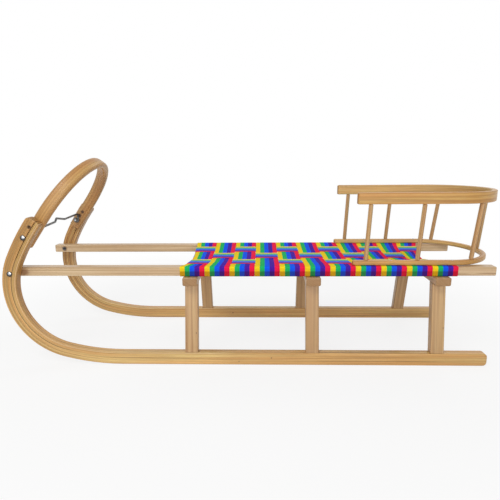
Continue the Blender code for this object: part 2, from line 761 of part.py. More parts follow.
def make_cross_strap(index):
    path = cross_strap_path(index)
    outline = strip(path, STRAP_THICKNESS / 2)
    rings = []
    for (y, z), upper, lower in zip(path, outline, reversed(outline)):
        front, rear = 0, STRAP_WIDTH
        if z > RAIL_BOTTOM and abs(y) < RAIL_OUTER - RAIL_EDGE:
            upper.x = lower.x = y       # upright, so that the drawn edges stay flat
            front, rear = front + drawn(index, y), rear + drawn(index + 1, y)
        rings.append([(*lower, front), (*upper, front), (*upper, rear), (*lower, rear)])
    bm = bmesh.new()
    loft(bm, rings)
    start = strap_centre(index) - STRAP_WIDTH / 2
    strap = solid(f"cross_strap_{index + 1:02d}", bm, "webbing", Matrix.Translation((start, 0, 0)) @ FRONT_VIEW)
    holes = bmesh.new()
    low, high = RAIL_BOTTOM - STRAP_THICKNESS - 3 * GAP, RAIL_BOTTOM
    for distance in TRESTLES.values():
        if abs(distance + strap_centre(index)) < STRAP_WIDTH / 2:
            for side in SIDES.values():
                upright_hole(holes, -distance, side * RAIL_MIDDLE, SCREW_RADIUS + GAP, low, high)
    for distance in BACK_SCREWS.values():
        if abs(distance + strap_centre(index)) < STRAP_WIDTH / 2:
            for side in SIDES.values():
                upright_hole(holes, -distance, side * RAIL_MIDDLE, SCREW_RADIUS + GAP, RAIL_TOP, STRAP_TOP + GAP)
    cut(strap, holes, "holes")


def strap_end_path(bar_x, edge_x, height, sign):
    # from the side of a crossbar's top with more room, and up to the seat's edge; sign is -1 at the front
    clear = edge_x + sign * (2 * GAP + STRAP_THICKNESS)
    reach = CROSSBAR_WIDTH / 2 - CROSSBAR_EDGE
    start = max(bar_x - reach, bar_x + reach, key=lambda x: abs(x - clear))
    low = CROSSBAR_TOP + GAP + STRAP_THICKNESS / 2
    path = [(start, low), (clear, low), (clear, height - STRAP_THICKNESS)]
    path.append((clear - sign * STRAP_THICKNESS, height))
    return path


def long_strap_path(row):
    level = RAIL_TOP + GAP + STRAP_THICKNESS / 2
    step = weave_step()
    heights = [level + (step if long_is_over(row, index) else -step) for index in range(CROSS_STRAPS)]
    front_edge = strap_centre(0) - STRAP_WIDTH / 2 + drawn(0, 0)
    rear_edge = strap_centre(CROSS_STRAPS - 1) + STRAP_WIDTH / 2 + drawn(CROSS_STRAPS, 0)
    path = strap_end_path(-TRESTLES["front"], front_edge, heights[0], -1)
    for index, height in enumerate(heights):
        middle = strap_centre(index)
        ends = [middle - STRAP_WIDTH / 2 - GAP + drawn(index, 0), middle + STRAP_WIDTH / 2 + GAP + drawn(index + 1, 0)]
        if index == 0:
            ends[0] = path[-1][0] + STRAP_THICKNESS
        if index == CROSS_STRAPS - 1:
            ends[1] = rear_edge - STRAP_THICKNESS
        path += [(x, height) for x in ends]
    return path + strap_end_path(-TRESTLES["rear"], rear_edge, heights[-1], 1)[::-1]


def make_long_strap(row, y):
    bm = bmesh.new()
    plate(bm, strip(long_strap_path(row), STRAP_THICKNESS / 2), STRAP_WIDTH)
    matrix = Matrix.Translation((0, y + STRAP_WIDTH / 2, 0)) @ SIDE_VIEW
    names = ("left", "centre", "right")
    solid(f"long_strap_{names[row]}", bm, "webbing", matrix)


# Backrest

def bow_path(front, arm_end, bow, half_width, steps=20):
    # centre line of a U open to the front: straight arms and a half ellipse
    points = [Vector((-front, half_width))]
    headings = [0.0]
    for i in range(steps + 1):
        turn = math.pi / 2 - math.pi * i / steps
        points.append(Vector((bow * math.cos(turn) - arm_end, half_width * math.sin(turn))))
        headings.append(math.atan2(-half_width * math.cos(turn), bow * math.sin(turn)))
    points.append(Vector((-front, -half_width)))
    headings.append(-math.pi)
    return points, headings


def bow_y(x, arm_end, bow, half_width):
    share = min(1, max(0, (x + arm_end) / bow))
    return half_width * math.sqrt(1 - share ** 2)


def hoop_size():
    return HOOP_ARM_END, HOOP_BOW - HOOP_WIDTH / 2, BACK_HALF_WIDTH - HOOP_WIDTH / 2


def band_size():
    return BAND_ARM_END, BAND_BOW - BAND_THICKNESS / 2, BACK_HALF_WIDTH - BAND_THICKNESS / 2


def spindle_ends():
    # name, foot on the hoop's top, head under the band
    hoop_top = STRAP_TOP + GAP + HOOP_HEIGHT
    band_bottom = BAND_TOP - BAND_HEIGHT
    ends = []
    for side_name, side in SIDES.items():
        for name, (foot, head) in SPINDLES.items():
            low = Vector((-foot, side * bow_y(-foot, *hoop_size()), hoop_top))
            high = Vector((-head, side * bow_y(-head, *band_size()), band_bottom))
            ends.append((f"{name}_{side_name}", low, high))
    low = Vector((hoop_size()[1] - HOOP_ARM_END, 0, hoop_top))
    high = Vector((band_size()[1] - BAND_ARM_END, 0, band_bottom))
    ends.append(("centre", low, high))
    return ends


def spindle_tenons(bm):
    for _, low, high in spindle_ends():
        axis = (high - low).normalized()
        matrix = Matrix.Translation(low) @ along(axis)
        length = (high - low).length
        radius = SPINDLE_TENON + GAP
        turned(bm, rod_profile(radius, -HOOP_TENON_DEPTH - GAP, length + BAND_TENON_DEPTH + GAP), matrix, 10)


def make_bow(name, finish, size, front, stock, bottom, height, edge):
    arm_end, bow, half_width = size
    points, headings = bow_path(front, arm_end, bow, half_width)
    outline = ribbon(points, headings, stock / 2)
    count = len(points)
    radii = {i: stock / 3 for i in (0, count - 1, count, 2 * count - 1)}
    bm = bmesh.new()
    plate(bm, rounded(outline, radii, 3), height)
    bow_item = solid(name, bm, finish, Matrix.Translation((0, 0, bottom)), edge=edge)
    holes = bmesh.new()
    spindle_tenons(holes)
    cut(bow_item, holes, "spindle_holes")
    return bow_item


def make_backrest():
    hoop_bottom = STRAP_TOP + GAP
    hoop = make_bow("backrest_hoop", "beech", hoop_size(), HOOP_FRONT, HOOP_WIDTH, hoop_bottom, HOOP_HEIGHT, HOOP_EDGE)
    holes = bmesh.new()
    for side in SIDES.values():
        for distance in BACK_SCREWS.values():
            place = Matrix.Translation((-distance, side * RAIL_MIDDLE, hoop_bottom + HOOP_HEIGHT))
            turned(holes, screw_profile(HOOP_HEIGHT + OVERSHOOT, GAP), place @ Matrix.Rotation(math.pi, 4, "X"), 10)
    cut(hoop, holes, "screw_holes")
    make_bow("backrest_band", "beech", band_size(), BAND_FRONT, BAND_THICKNESS, BAND_TOP - BAND_HEIGHT,
             BAND_HEIGHT, BAND_EDGE)
    for name, low, high in spindle_ends():
        length = (high - low).length
        profile = [(0, -HOOP_TENON_DEPTH), (SPINDLE_TENON, -HOOP_TENON_DEPTH), (SPINDLE_TENON, SPINDLE_SHOULDER),
                   (SPINDLE_RADIUS, SPINDLE_SHOULDER), (SPINDLE_RADIUS, length - SPINDLE_SHOULDER),
                   (SPINDLE_TENON, length - SPINDLE_SHOULDER), (SPINDLE_TENON, length + BAND_TENON_DEPTH),
                   (0, length + BAND_TENON_DEPTH)]
        bm = bmesh.new()
        turned(bm, profile, Matrix(), 10)
        solid(f"spindle_{name}", bm, "beech", Matrix.Translation(low) @ along(high - low))
    length = hoop_bottom + HOOP_HEIGHT - RAIL_TOP + SCREW_BITE
    for side_name, side in SIDES.items():
        for place_name, distance in BACK_SCREWS.items():
            bm = bmesh.new()
            turned(bm, screw_profile(length), Matrix(), 8)
            place = Matrix.Translation((-distance, side * RAIL_MIDDLE, hoop_bottom + HOOP_HEIGHT))
            solid(f"backrest_screw_{place_name}_{side_name}", bm, "steel", place @ Matrix.Rotation(math.pi, 4, "X"))


def make_sled():
    for side_name in SIDES:
        make_runner(side_name)
        make_shoe(side_name)
        make_rail(side_name)
        for place_name in TRESTLES:
            make_leg(place_name, side_name)
    for place_name in TRESTLES:
        make_crossbar(place_name)
    make_rail_screws()
    make_grab_loop()
    make_lap_nails()
    eye_seat = RUNNER_THICKNESS + GAP + LOOP_STOCK + GAP + 2 * ROD_RADIUS + GAP
    make_bolts("horn", *horn_bolt(), eye_seat)
    make_bolts("rail", horn_x(RAIL_BOLT_HEIGHT), RAIL_BOLT_HEIGHT, RUNNER_THICKNESS + GAP + RAIL_THICKNESS + GAP)
    make_pull_rod()
    for index in range(CROSS_STRAPS):
        make_cross_strap(index)
    for row, y in enumerate(long_strap_rows()):
        make_long_strap(row, y)
    make_backrest()


clear_scene()
MATERIALS = make_materials()
# the sled stands on its shoes, centred over its whole length
ROOT = add_empty("sled", None, ((front_reach() - rear_reach()) / 2, 0, SHOE_PROUD))
make_sled()
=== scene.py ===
import math

import bmesh
import bpy
import numpy as np
from mathutils import Matrix, Vector


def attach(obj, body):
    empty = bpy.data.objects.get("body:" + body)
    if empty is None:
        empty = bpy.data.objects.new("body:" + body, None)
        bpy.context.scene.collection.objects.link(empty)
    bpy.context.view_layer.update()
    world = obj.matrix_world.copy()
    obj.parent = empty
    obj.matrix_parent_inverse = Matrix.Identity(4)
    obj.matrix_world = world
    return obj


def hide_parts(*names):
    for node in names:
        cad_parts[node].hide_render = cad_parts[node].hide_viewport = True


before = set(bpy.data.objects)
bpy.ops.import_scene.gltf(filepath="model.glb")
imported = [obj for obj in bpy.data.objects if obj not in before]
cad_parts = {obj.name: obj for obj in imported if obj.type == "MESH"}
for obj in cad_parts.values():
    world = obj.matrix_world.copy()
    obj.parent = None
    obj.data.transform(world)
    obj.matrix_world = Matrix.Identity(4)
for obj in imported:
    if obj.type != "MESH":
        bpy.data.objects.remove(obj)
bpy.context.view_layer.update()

gap = 0.0003                               # clearance between pieces that touch
beyond = 0.001                             # how far a cut starts outside a piece
origin = Vector((0.5608, 0, 0.001))        # rear end of the runners' wood
sides = {"left": -1, "right": 1}
trestles = {"rear": 0.1154, "middle": 0.4191, "front": 0.7139}      # forward of the origin
boltPlaces = {"horn": Vector((-0.53622, 0.31946)), "rail": Vector((-0.57982, 0.2322))}      # X and Z
finishes = {}                              # each finish's material and slot


# Shader maths

class Wire:
    # a node's output that can stand in a sum
    def __init__(self, recipe, socket):
        self.recipe = recipe
        self.socket = socket

    def maths(self, operation, *values):
        return self.recipe.node("ShaderNodeMath", {"operation": operation}, dict(enumerate(values)))

    def __add__(self, other):
        return self.maths("ADD", self, other)

    def __sub__(self, other):
        return self.maths("SUBTRACT", self, other)

    def __rsub__(self, other):
        return self.maths("SUBTRACT", other, self)

    def __mul__(self, other):
        return self.maths("MULTIPLY", self, other)

    def __truediv__(self, other):
        return self.maths("DIVIDE", self, other)

    def __pow__(self, other):
        return self.maths("POWER", self, other)

    def __abs__(self):
        return self.maths("ABSOLUTE", self)

    __radd__ = __add__
    __rmul__ = __mul__

    def sine(self):
        return self.maths("SINE", self)

    def whole(self):
        return self.maths("FLOOR", self)

    def most(self, other):
        return self.maths("MAXIMUM", self, other)


class Finish:
    # the nodes of a material or world, and the few calls that build them
    def __init__(self, owner):
        owner.use_nodes = True
        self.material = owner
        self.tree = owner.node_tree
        self.tree.nodes.clear()

    def node(self, kind, settings=None, sockets=None, out=0):
        made = self.tree.nodes.new(kind)
        for key, value in (settings or {}).items():
            if key == "stops":
                ramp = made.color_ramp
                while len(ramp.elements) < len(value):
                    ramp.elements.new(1.0)
                for element, (position, colour) in zip(ramp.elements, value):
                    element.position = position
                    element.color = colour
            elif key == "between":
                made.color_ramp.interpolation = value
            else:
                setattr(made, key, value)
        for key, value in (sockets or {}).items():
            if isinstance(value, Wire):
                self.tree.links.new(value.socket, made.inputs[key])
            else:
                made.inputs[key].default_value = value
        return Wire(self, made.outputs[out]) if made.outputs else None

    def attribute(self, name, out="Fac"):
        return self.node("ShaderNodeAttribute", {"attribute_name": name}, out=out)

    def spot(self):
        return self.node("ShaderNodeTexCoord", out="Object")

    def split(self, vector):
        outputs = self.node("ShaderNodeSeparateXYZ", sockets={0: vector}).socket.node.outputs
        return [Wire(self, socket) for socket in outputs]

    def join(self, x, y, z):
        return self.node("ShaderNodeCombineXYZ", sockets={0: x, 1: y, 2: z})

    def vector(self, operation, one, other=(0, 0, 0), out=0):
        return self.node("ShaderNodeVectorMath", {"operation": operation}, {0: one, 1: other}, out)

    def away(self, spot, place=(0, 0, 0), reach=(1, 1, 1)):
        # distance from a place, counted in reaches
        offset = self.vector("SUBTRACT", spot, place)
        return self.vector("LENGTH", self.vector("DIVIDE", offset, reach), out="Value")

    def noise(self, vector, sizes, detail=2.0):
        # one unit of pattern for each size
        sockets = {"Vector": self.vector("DIVIDE", vector, sizes), "Scale": 1.0, "Detail": detail}
        return self.node("ShaderNodeTexNoise", sockets=sockets)

    def band(self, value, low, high, start=0.0, finish=1.0):
        settings = {"interpolation_type": "SMOOTHSTEP"}
        return self.node("ShaderNodeMapRange", settings, {0: value, 1: low, 2: high, 3: start, 4: finish})

    def blend(self, share, one, other, kind="MIX"):
        settings = {"data_type": "RGBA", "blend_type": kind}
        return self.node("ShaderNodeMix", settings, {0: share, 6: one, 7: other}, out=2)

    def bump(self, height, strength, distance):
        sockets = {"Strength": strength, "Distance": distance, "Height": height}
        return self.node("ShaderNodeBump", sockets=sockets)

    def seen(self):
        # 1 for rays from the camera, also by way of metal or glass
        outputs = self.node("ShaderNodeLightPath").socket.node.outputs
        rays = [Wire(self, outputs[f"Is {kind} Ray"]) for kind in ("Camera", "Glossy", "Transmission")]
        return rays[0].most(rays[1]).most(rays[2])

    def close(self, colour, roughness, normal, plain):
        sockets = {"Base Color": colour, "Roughness": roughness, "Normal": normal, **plain}
        self.end(self.node("ShaderNodeBsdfPrincipled", sockets=sockets))
        return self.material

    def end(self, shader):
        self.node("ShaderNodeOutputMaterial", sockets={"Surface": shader})


def srgb(red, green, blue):
    # a screen colour of 0 to 255 as linear light
    values = [channel / 255 for channel in (red, green, blue)]
    return [*(v / 12.92 if v <= 0.04045 else ((v + 0.055) / 1.055) ** 2.4 for v in values), 1.0]


def grey(value):
    return [value, value, value, 1.0]


# Wood: colour, grain, wear and a painted edge shade follow each piece along its bends

marks = {      # knots and stains: place, and reach along each axis
    "knot near the middle leg": ((0.0423, -0.1645, 0.0193), (0.0026, 0.004, 0.0018)),
    "knot before the middle leg": ((-0.0373, -0.1645, 0.01), (0.002, 0.004, 0.0014)),
    "knot in the far runner": ((-0.0728, 0.1441, 0.0165), (0.003, 0.004, 0.002)),
    "knot in the front leg": ((-0.1413, -0.154, 0.0794), (0.0014, 0.006, 0.003)),
    "knot in the rear leg": ((0.4551, -0.153, 0.0934), (0.0014, 0.006, 0.003)),
    "brown heart of the near rail": ((0.555, -0.142, 0.2275), (0.05, 0.02, 0.0016)),
    "brown end of the near rail": ((0.478, -0.142, 0.2265), (0.045, 0.02, 0.0012)),
    "stain round the nail in the near runner": ((-0.5185, -0.1645, 0.345), (0.0066, 0.004, 0.0066)),
    "stain of the near rail at the horn": ((-0.556, -0.1438, 0.2312), (0.016, 0.01, 0.012)),
    "stain round the far rail bolt": ((-0.5798, 0.1185, 0.2322), (0.0105, 0.006, 0.0105)),
    "far nail end in the loop": ((-0.5172, 0.1258, 0.3426), (0.0072, 0.004, 0.0072)),
    "stain by the far nut in the loop": ((-0.5262, 0.1258, 0.3322), (0.007, 0.004, 0.008)),
    "near nail end in the loop": ((-0.5187, -0.1258, 0.3440), (0.003, 0.003, 0.003)),
}
patterns = {      # size along, across and through the piece, detail, and where its mask starts and is full
    "hue": ((0.45, 0.012, 0.007), 2.0, (0.36, 0.64)),
    "cloud": ((0.22, 0.05, 0.05), 2.0, (0.3, 0.7)),
    "line": ((0.5, 0.0035, 0.0012), 2.0, (0.55, 0.66)),
    "fibre": ((0.03, 0.0005, 0.0005), 2.0, (0.35, 0.65)),
    "fleck": ((0.0034, 0.0004, 0.0004), 1.0, (0.66, 0.76)),
}
yearRings = {"drift": (0.35, 0.03, 0.03), "length": 0.7, "mask": (0.4, 0.6)}
wearAndShadeMask, stainMask = (0.3, 0.6), (0.35, 1.0)
lineFade = 0.08        # each seam line, the painted highlight line among them, comes in over this length
boardShift = 3.0       # each board reads its own stretch of the grain


def woodFinish(name, look):
    recipe = Finish(bpy.data.materials.new(name))
    place = recipe.attribute("grainPlace", "Vector")          # along, across and through the piece
    along, across, through = recipe.split(place)
    noises = {key: recipe.noise(place, sizes, detail) for key, (sizes, detail, _) in patterns.items()}
    masks = {key: recipe.band(noises[key], *fade) for key, (_, _, fade) in patterns.items()}
    masks["end"] = recipe.attribute("endGrain")
    masks["worn"] = recipe.attribute("edgeWear") * recipe.band(noises["cloud"], *wearAndShadeMask)
    drift = recipe.noise(place, yearRings["drift"], 1.0) - 0.5
    ring = through * look["ringTilt"][0] + across * look["ringTilt"][1] + drift * look["ringDrift"]
    ringSizes = (yearRings["length"], look["ringWidth"], 1.0)
    streak = recipe.band(recipe.noise(recipe.join(along, ring, drift), ringSizes, 3.0), *yearRings["mask"])

    colour = recipe.blend(streak, look["dark"], look["light"])
    tint = recipe.blend(masks["hue"], look["redTint"], look["greenTint"])
    colour = recipe.blend(1.0, colour, tint, "MULTIPLY")
    # the last layer darkens the edges with painted shade; the roughness below adds wear there
    for layer in ("cloud", "line", "fibre", "fleck", "end", "worn"):
        colour = recipe.blend(masks[layer] * look[layer], colour, look[layer + "Tone"])
    position = along - (along / boardShift).whole() * boardShift
    if "steam" in look:      # one end of a bent piece takes on a deeper colour; on the grab loop this is painted shade on its far limb
        deeper = recipe.blend(1.0, colour, look["steam"], "MULTIPLY")
        colour = recipe.blend(recipe.band(position, *look["steamFrom"]), colour, deeper)
    # dark glue lines, the first also painted shade inside the saw cut, and one light line that is a painted
    # highlight
    for lineThrough, width, start, depth, tone in look.get("seamsAndHighlight", ()):
        line = recipe.band(abs(through - lineThrough), width * 0.3, width, 1.0, 0.0)
        shown = line * recipe.band(position, start, start + lineFade)
        colour = recipe.blend(shown * depth, colour, tone)
    spot = recipe.spot()
    for where, reach in look["marks"]:
        stain = recipe.band(recipe.away(spot, where, reach), *stainMask, look["knotDepth"], 0.0)
        colour = recipe.blend(stain, colour, look["knotTone"])

    roughness = look["roughness"] + (noises["fibre"] - 0.5) * 0.14 + masks["fleck"] * 0.12
    roughness = roughness + masks["end"] * 0.2 + masks["worn"] * 0.1
    height = noises["fibre"] * 0.5 + streak * 0.35 - masks["fleck"] * 0.6 - masks["line"] * 0.3
    normal = recipe.bump(height, look["bump"], 0.0003)
    return recipe.close(colour, roughness, normal, {
        "Coat Weight": look["varnish"], "Coat Roughness": 0.22, "Specular IOR Level": 0.45})


def marksOf(*words):
    return [mark for name, mark in marks.items() if any(word in name for word in words)]


bentLook = {
    "light": srgb(214, 172, 106), "dark": srgb(184, 135, 72),
    "redTint": [1.06, 0.95, 0.84, 1.0], "greenTint": [0.95, 1.03, 0.98, 1.0],
    "cloud": 0.45, "cloudTone": srgb(188, 143, 88), "line": 0.75, "lineTone": srgb(132, 84, 42),
    "fibre": 0.35, "fibreTone": srgb(182, 133, 78), "fleck": 0.35, "fleckTone": srgb(112, 72, 38),
    # after the end grain's tone, the edge tone is painted shade along the edges
    "end": 0.75, "endTone": srgb(132, 88, 50), "worn": 0.35, "wornTone": srgb(142, 98, 56),
    "knotDepth": 0.9, "knotTone": srgb(66, 38, 22), "marks": (),
    "ringTilt": (1.0, 0.35), "ringDrift": 0.006, "ringWidth": 0.0026,
    "roughness": 0.42, "bump": 0.25, "varnish": 0.2,
}
loopLook = {
    **bentLook,
    "light": srgb(208, 164, 98), "dark": srgb(178, 130, 70), "line": 0.3,
    # painted shade: the loop's far limb darkened from just past its top
    "steam": [0.8, 0.8, 0.88, 1.0], "steamFrom": (0.36, 0.46), "marks": marksOf("in the loop"),
}
backLook = {
    **bentLook,
    "light": srgb(229, 194, 128), "dark": srgb(199, 159, 94), "line": 0.5,
    "steam": [0.92, 0.79, 0.6, 1.0], "steamFrom": (0.34, 0.56),
}
spindleLook = {
    **bentLook,
    "light": srgb(204, 168, 116), "dark": srgb(176, 138, 90), "cloudTone": srgb(178, 142, 100),
}
runnerLook = {
    **bentLook,
    "light": srgb(238, 201, 136), "dark": srgb(200, 154, 90), "lineTone": srgb(122, 78, 40), "line": 0.85,
    "end": 0.2, "worn": 0.15, "steam": [0.77, 0.7, 0.59, 1.0], "steamFrom": (1.06, 1.3),
    "seamsAndHighlight": (      # glued joints that carry on from the saw cut, the first also painted shade inside the cut, and last a light painted highlight along the upper edge on the inside of the bend: through, width, start, depth and tone
        (0.0052, 0.0011, 0.98, 0.85, srgb(84, 52, 28)), (-0.0045, 0.0007, 0.9, 0.5, srgb(120, 78, 42)),
        (-0.0098, 0.0006, 0.94, 0.4, srgb(120, 78, 42)), (0.0138, 0.0011, 0.6, 0.45, srgb(246, 222, 180))),
    "marks": marksOf("runner", "middle leg"),
}
railLook = {
    **bentLook,
    "light": srgb(224, 198, 162), "dark": srgb(196, 166, 128), "fibreTone": srgb(196, 164, 126),
    "redTint": [1.01, 0.97, 0.93, 1.0], "greenTint": [0.98, 1.0, 0.95, 1.0],
    "cloudTone": srgb(194, 160, 118), "lineTone": srgb(156, 116, 76), "endTone": srgb(146, 106, 68),
    "ringWidth": 0.0034, "ringTilt": (0.8, 0.6),
    "knotDepth": 0.75, "knotTone": srgb(136, 90, 54), "marks": marksOf("rail"),
}
legLook = {
    **railLook,
    "light": srgb(204, 168, 120), "dark": srgb(178, 137, 90), "fibreTone": srgb(176, 134, 88),
    "knotDepth": 0.85, "knotTone": srgb(84, 50, 28), "marks": marksOf("front leg", "rear leg"),
}
woods = {"runnerWood": runnerLook, "loopWood": loopLook, "backWood": backLook,
         "spindleWood": spindleLook, "railWood": railLook, "legWood": legLook}
for name, look in woods.items():
    slot = "straight_wood" if name in ("railWood", "legWood") else "bentwood"
    finishes[name] = (woodFinish(name, look), slot)


# Metal and webbing

glintPlaces = [(place.x + 0.002, side * 0.1674, place.y + 0.0022)      # painted highlight on the upper part of each bolt's head
                for place in boltPlaces.values() for side in sides.values()]
glintPlaces += [(boltPlaces["horn"].x, side * 0.1136, boltPlaces["horn"].y)      # painted highlights on the inner ends at the horns
                 for side in sides.values()]
metals = {
    "zincSteel": {"bright": grey(0.32), "dull": grey(0.2), "stain": 0.4, "stainTone": grey(0.07),
                  "roughness": 0.22, "bump": 0.15},
    # the dome heads' near-black colour is painted dark reflection, lit by painted highlights at the places
    # above
    "domeSteel": {"bright": grey(0.06), "dull": grey(0.03), "stain": 0.3, "stainTone": grey(0.02),
                  "roughness": 0.14, "bump": 0.06,
                  "paintedGlints": glintPlaces, "glintTone": grey(0.62), "glintReach": (0.0012, 0.0056)},
    "rodSteel": {"bright": grey(0.19), "dull": grey(0.085), "stain": 0.5, "stainTone": srgb(60, 48, 40),
                 "roughness": 0.38, "bump": 0.3},
    "shoeSteel": {"bright": grey(0.5), "dull": grey(0.38), "stain": 0.4, "stainTone": srgb(120, 96, 76),
                  "roughness": 0.48, "bump": 0.35},
    "nailSteel": {"bright": grey(0.05), "dull": grey(0.03), "stain": 0.5, "stainTone": srgb(50, 34, 24),
                  "roughness": 0.6, "bump": 0.3},
}


def metalFinish(name, look):
    recipe = Finish(bpy.data.materials.new(name))
    spot = recipe.spot()
    cloud = recipe.noise(spot, (0.012, 0.012, 0.012), 3.0)
    grit = recipe.noise(spot, (0.0012, 0.0012, 0.0012))
    scratch = recipe.noise(spot, (0.0006, 0.012, 0.0006), 1.0)
    colour = recipe.blend(recipe.band(cloud, 0.35, 0.68), look["bright"], look["dull"])
    colour = recipe.blend(recipe.band(grit, 0.62, 0.75) * look["stain"], colour, look["stainTone"])
    for place in look.get("paintedGlints", ()):       # painted highlight, bright at each place and dark at the head's rim
        dull = recipe.band(recipe.away(spot, place), *look["glintReach"])
        colour = recipe.blend(dull, look["glintTone"], colour)
    roughness = look["roughness"] + (cloud - 0.5) * 0.25 + (scratch - 0.5) * 0.12
    normal = recipe.bump(grit * 0.5 + scratch * 0.5, look["bump"], 0.0002)
    return recipe.close(colour, roughness, normal, {"Metallic": 1.0})


for name, look in metals.items():
    finishes[name] = (metalFinish(name, look), "steel")

webbing = {
    "width": 0.0592, "rowWidth": 0.0555, "thickness": 0.0012, "edge": 0.0005,
    "crossStraps": 11, "pitch": 0.0598, "front": 0.7383, "spacing": 0.074, "rowShift": -0.009,
    "tuck": 0.004, "slope": 0.010, "sag": 0.0045,
    "warp": 0.00125, "weft": 0.0019, "wobble": 0.0003,      # yarn spacing across and along
    "fullShadeHeight": 0.2338, "lowerShadeRamp": 0.003,                # below it the straps' sides are darker, as painted shade
    "sideShadeFade": 0.004, "upperShadeShare": 0.25,                   # a lighter painted shade above that height
    "footBend": 0.003, "footShare": 0.3, "footRise": 0.0008,      # where an end turns up from a crossbar
    "inside": 0.004,                                        # flat this far within a cross strap's edges
    # the next two tones colour the painted shade on the straps' sides, and the weave tone is painted shade
    # in the weave's hollows
    "sideShadeTone": [0.6, 0.43, 0.42, 1.0], "sideShadeWarmth": srgb(104, 58, 34), "weave": grey(0.84),
    "stripes": (srgb(255, 222, 36), srgb(36, 190, 106), srgb(24, 96, 255), srgb(80, 34, 172),
                srgb(255, 34, 78)),
}


def webbingFinish(name, sheen, spread, middle):
    # spread and middle place the five stripes across the tape
    recipe = Finish(bpy.data.materials.new(name))
    along, across, _ = recipe.split(recipe.attribute("grainPlace", "Vector"))
    column = across / webbing["warp"]
    row = along / webbing["weft"] + column.whole() * 0.5
    weave = abs((column * math.pi).sine()) ** 0.6 * abs((row * math.pi).sine()) ** 0.7
    wobble = (along * (math.pi / webbing["weft"])).sine() * webbing["wobble"]
    lane = (across + wobble) / (webbing["width"] * spread) + middle
    stops = [(i / 5, colour) for i, colour in enumerate(webbing["stripes"])]
    colour = recipe.node("ShaderNodeValToRGB", {"between": "CONSTANT", "stops": stops}, {0: lane}, "Color")
    flat = recipe.join(along, across, 0.0)
    shade = recipe.noise(flat, (0.03, 0.008, 1.0), 3.0)
    fuzz = recipe.noise(flat, (0.0007, 0.0005, 1.0))
    hang = recipe.attribute("hang")          # 1 where a strap hangs down a rail's side, for the painted shade there
    sideShadedColour = recipe.blend(1.0, colour, webbing["sideShadeTone"], "MULTIPLY")
    colour = recipe.blend(hang, colour, recipe.blend(0.08, sideShadedColour, webbing["sideShadeWarmth"]))
    # painted shade: the weave's hollows darker than the yarns' crowns
    deep = recipe.blend(1.0, colour, webbing["weave"], "MULTIPLY")
    colour = recipe.blend(weave, deep, colour)
    colour = recipe.blend(recipe.band(shade, 0.45, 0.8) * 0.3, colour, deep)
    roughness = 0.85 + (fuzz - 0.5) * 0.2 - weave * 0.08
    normal = recipe.bump(weave + fuzz * 0.25, 0.2, 0.0003)
    return recipe.close(colour, roughness, normal, {
        "Specular IOR Level": 0.06, "Sheen Weight": sheen, "Sheen Roughness": 0.35})


# the lengthwise yarns catch more light from the side
finishes["acrossTape"] = (webbingFinish("stripedWebbing", 0.015, 1.0, 0.5), "webbing")
finishes["alongTape"] = (webbingFinish("stripedWebbingLengthwise", 0.35, 1.2, 0.45), "webbing")
print("finishes:", len(finishes))


# Shapes

def evenly(start, finish, steps):
    return [start + (finish - start) * i / steps for i in range(steps + 1)]


def ray(turn):
    return Vector((math.cos(turn), math.sin(turn)))


tooClose = 0.0005                  # a point this near to a part's end is left out
creaseAngle = math.radians(35)     # sharper bends are shaded as edges


class Spine:
    # a flat centre line walked by distance; the plane's normal is its side
    def __init__(self, points, side):
        self.points = np.array([tuple(point) for point in points], float)
        steps = np.linalg.norm(np.diff(self.points, axis=0), axis=1)
        self.marks = np.concatenate([[0.0], np.cumsum(steps)])
        self.length = float(self.marks[-1])
        slopes = np.gradient(self.points, self.marks, axis=0)
        self.tangents = slopes / np.linalg.norm(slopes, axis=1)[:, None]
        self.side = np.array(tuple(side), float)
        self.ups = np.cross(self.side, self.tangents)

    def read(self, rows, distance):
        return Vector([float(np.interp(distance, self.marks, rows[:, i])) for i in range(3)])

    def at(self, distance):
        up = self.read(self.ups, distance).normalized()
        return self.read(self.points, distance), Vector(self.side), up

    def part(self, start, finish, offset=0.0, extra=0.0):
        # a stretch of the line moved along its up direction, with its far end drawn out by extra
        inside = [mark for mark in self.marks if start + tooClose < mark < finish - tooClose]
        marks = [start] + inside + [finish]
        points = []
        for mark in marks:
            centre, _, up = self.at(mark)
            points.append(centre + up * offset)
        if extra:
            points.append(points[-1] + (points[-1] - points[-2]).normalized() * extra)
        return Spine(points, self.side)


def roundedOutline(halfSide, halfUp, edge, steps=4):
    # side and up, with one more point on the flat beside each rounded corner
    if not edge:
        return [Vector((x * halfSide, y * halfUp)) for x, y in ((1, -1), (1, 1), (-1, 1), (-1, -1))]
    support = min(edge * 0.5, 0.4 * (min(halfSide, halfUp) - edge))
    outline = []
    for quarter, (sideSign, upSign) in enumerate(((1, 1), (-1, 1), (-1, -1), (1, -1))):
        centre = Vector((sideSign * (halfSide - edge), upSign * (halfUp - edge)))
        start, finish = quarter * math.pi / 2, (quarter + 1) * math.pi / 2
        arc = [centre + ray(turn) * edge for turn in evenly(start, finish, steps)]
        if support > 0.00005:
            arc = [arc[0] - ray(finish) * support] + arc + [arc[-1] - ray(start) * support]
        outline += arc
    return outline


def linkObject(name, data):
    item = bpy.data.objects.new(name, data)
    bpy.context.scene.collection.objects.link(item)
    return item


def meshObject(name, bm):
    mesh = bpy.data.meshes.new(name)
    bm.to_mesh(mesh)
    bm.free()
    return linkObject(name, mesh)


def skin(bm, lower, upper):
    # faces from ring to ring; a ring may be a single point
    count = max(len(lower), len(upper))
    for i in range(count):
        j = (i + 1) % count
        if len(lower) == 1:
            bm.faces.new((lower[0], upper[j], upper[i]))
        elif len(upper) == 1:
            bm.faces.new((lower[i], lower[j], upper[0]))
        else:
            bm.faces.new((lower[i], lower[j], upper[j], upper[i]))


def loft(bm, rings):
    loops = [[bm.verts.new(point) for point in ring] for ring in rings]
    for lower, upper in zip(loops, loops[1:]):
        skin(bm, lower, upper)
    bm.faces.new(loops[0][::-1])
    bm.faces.new(loops[-1])
    return bm


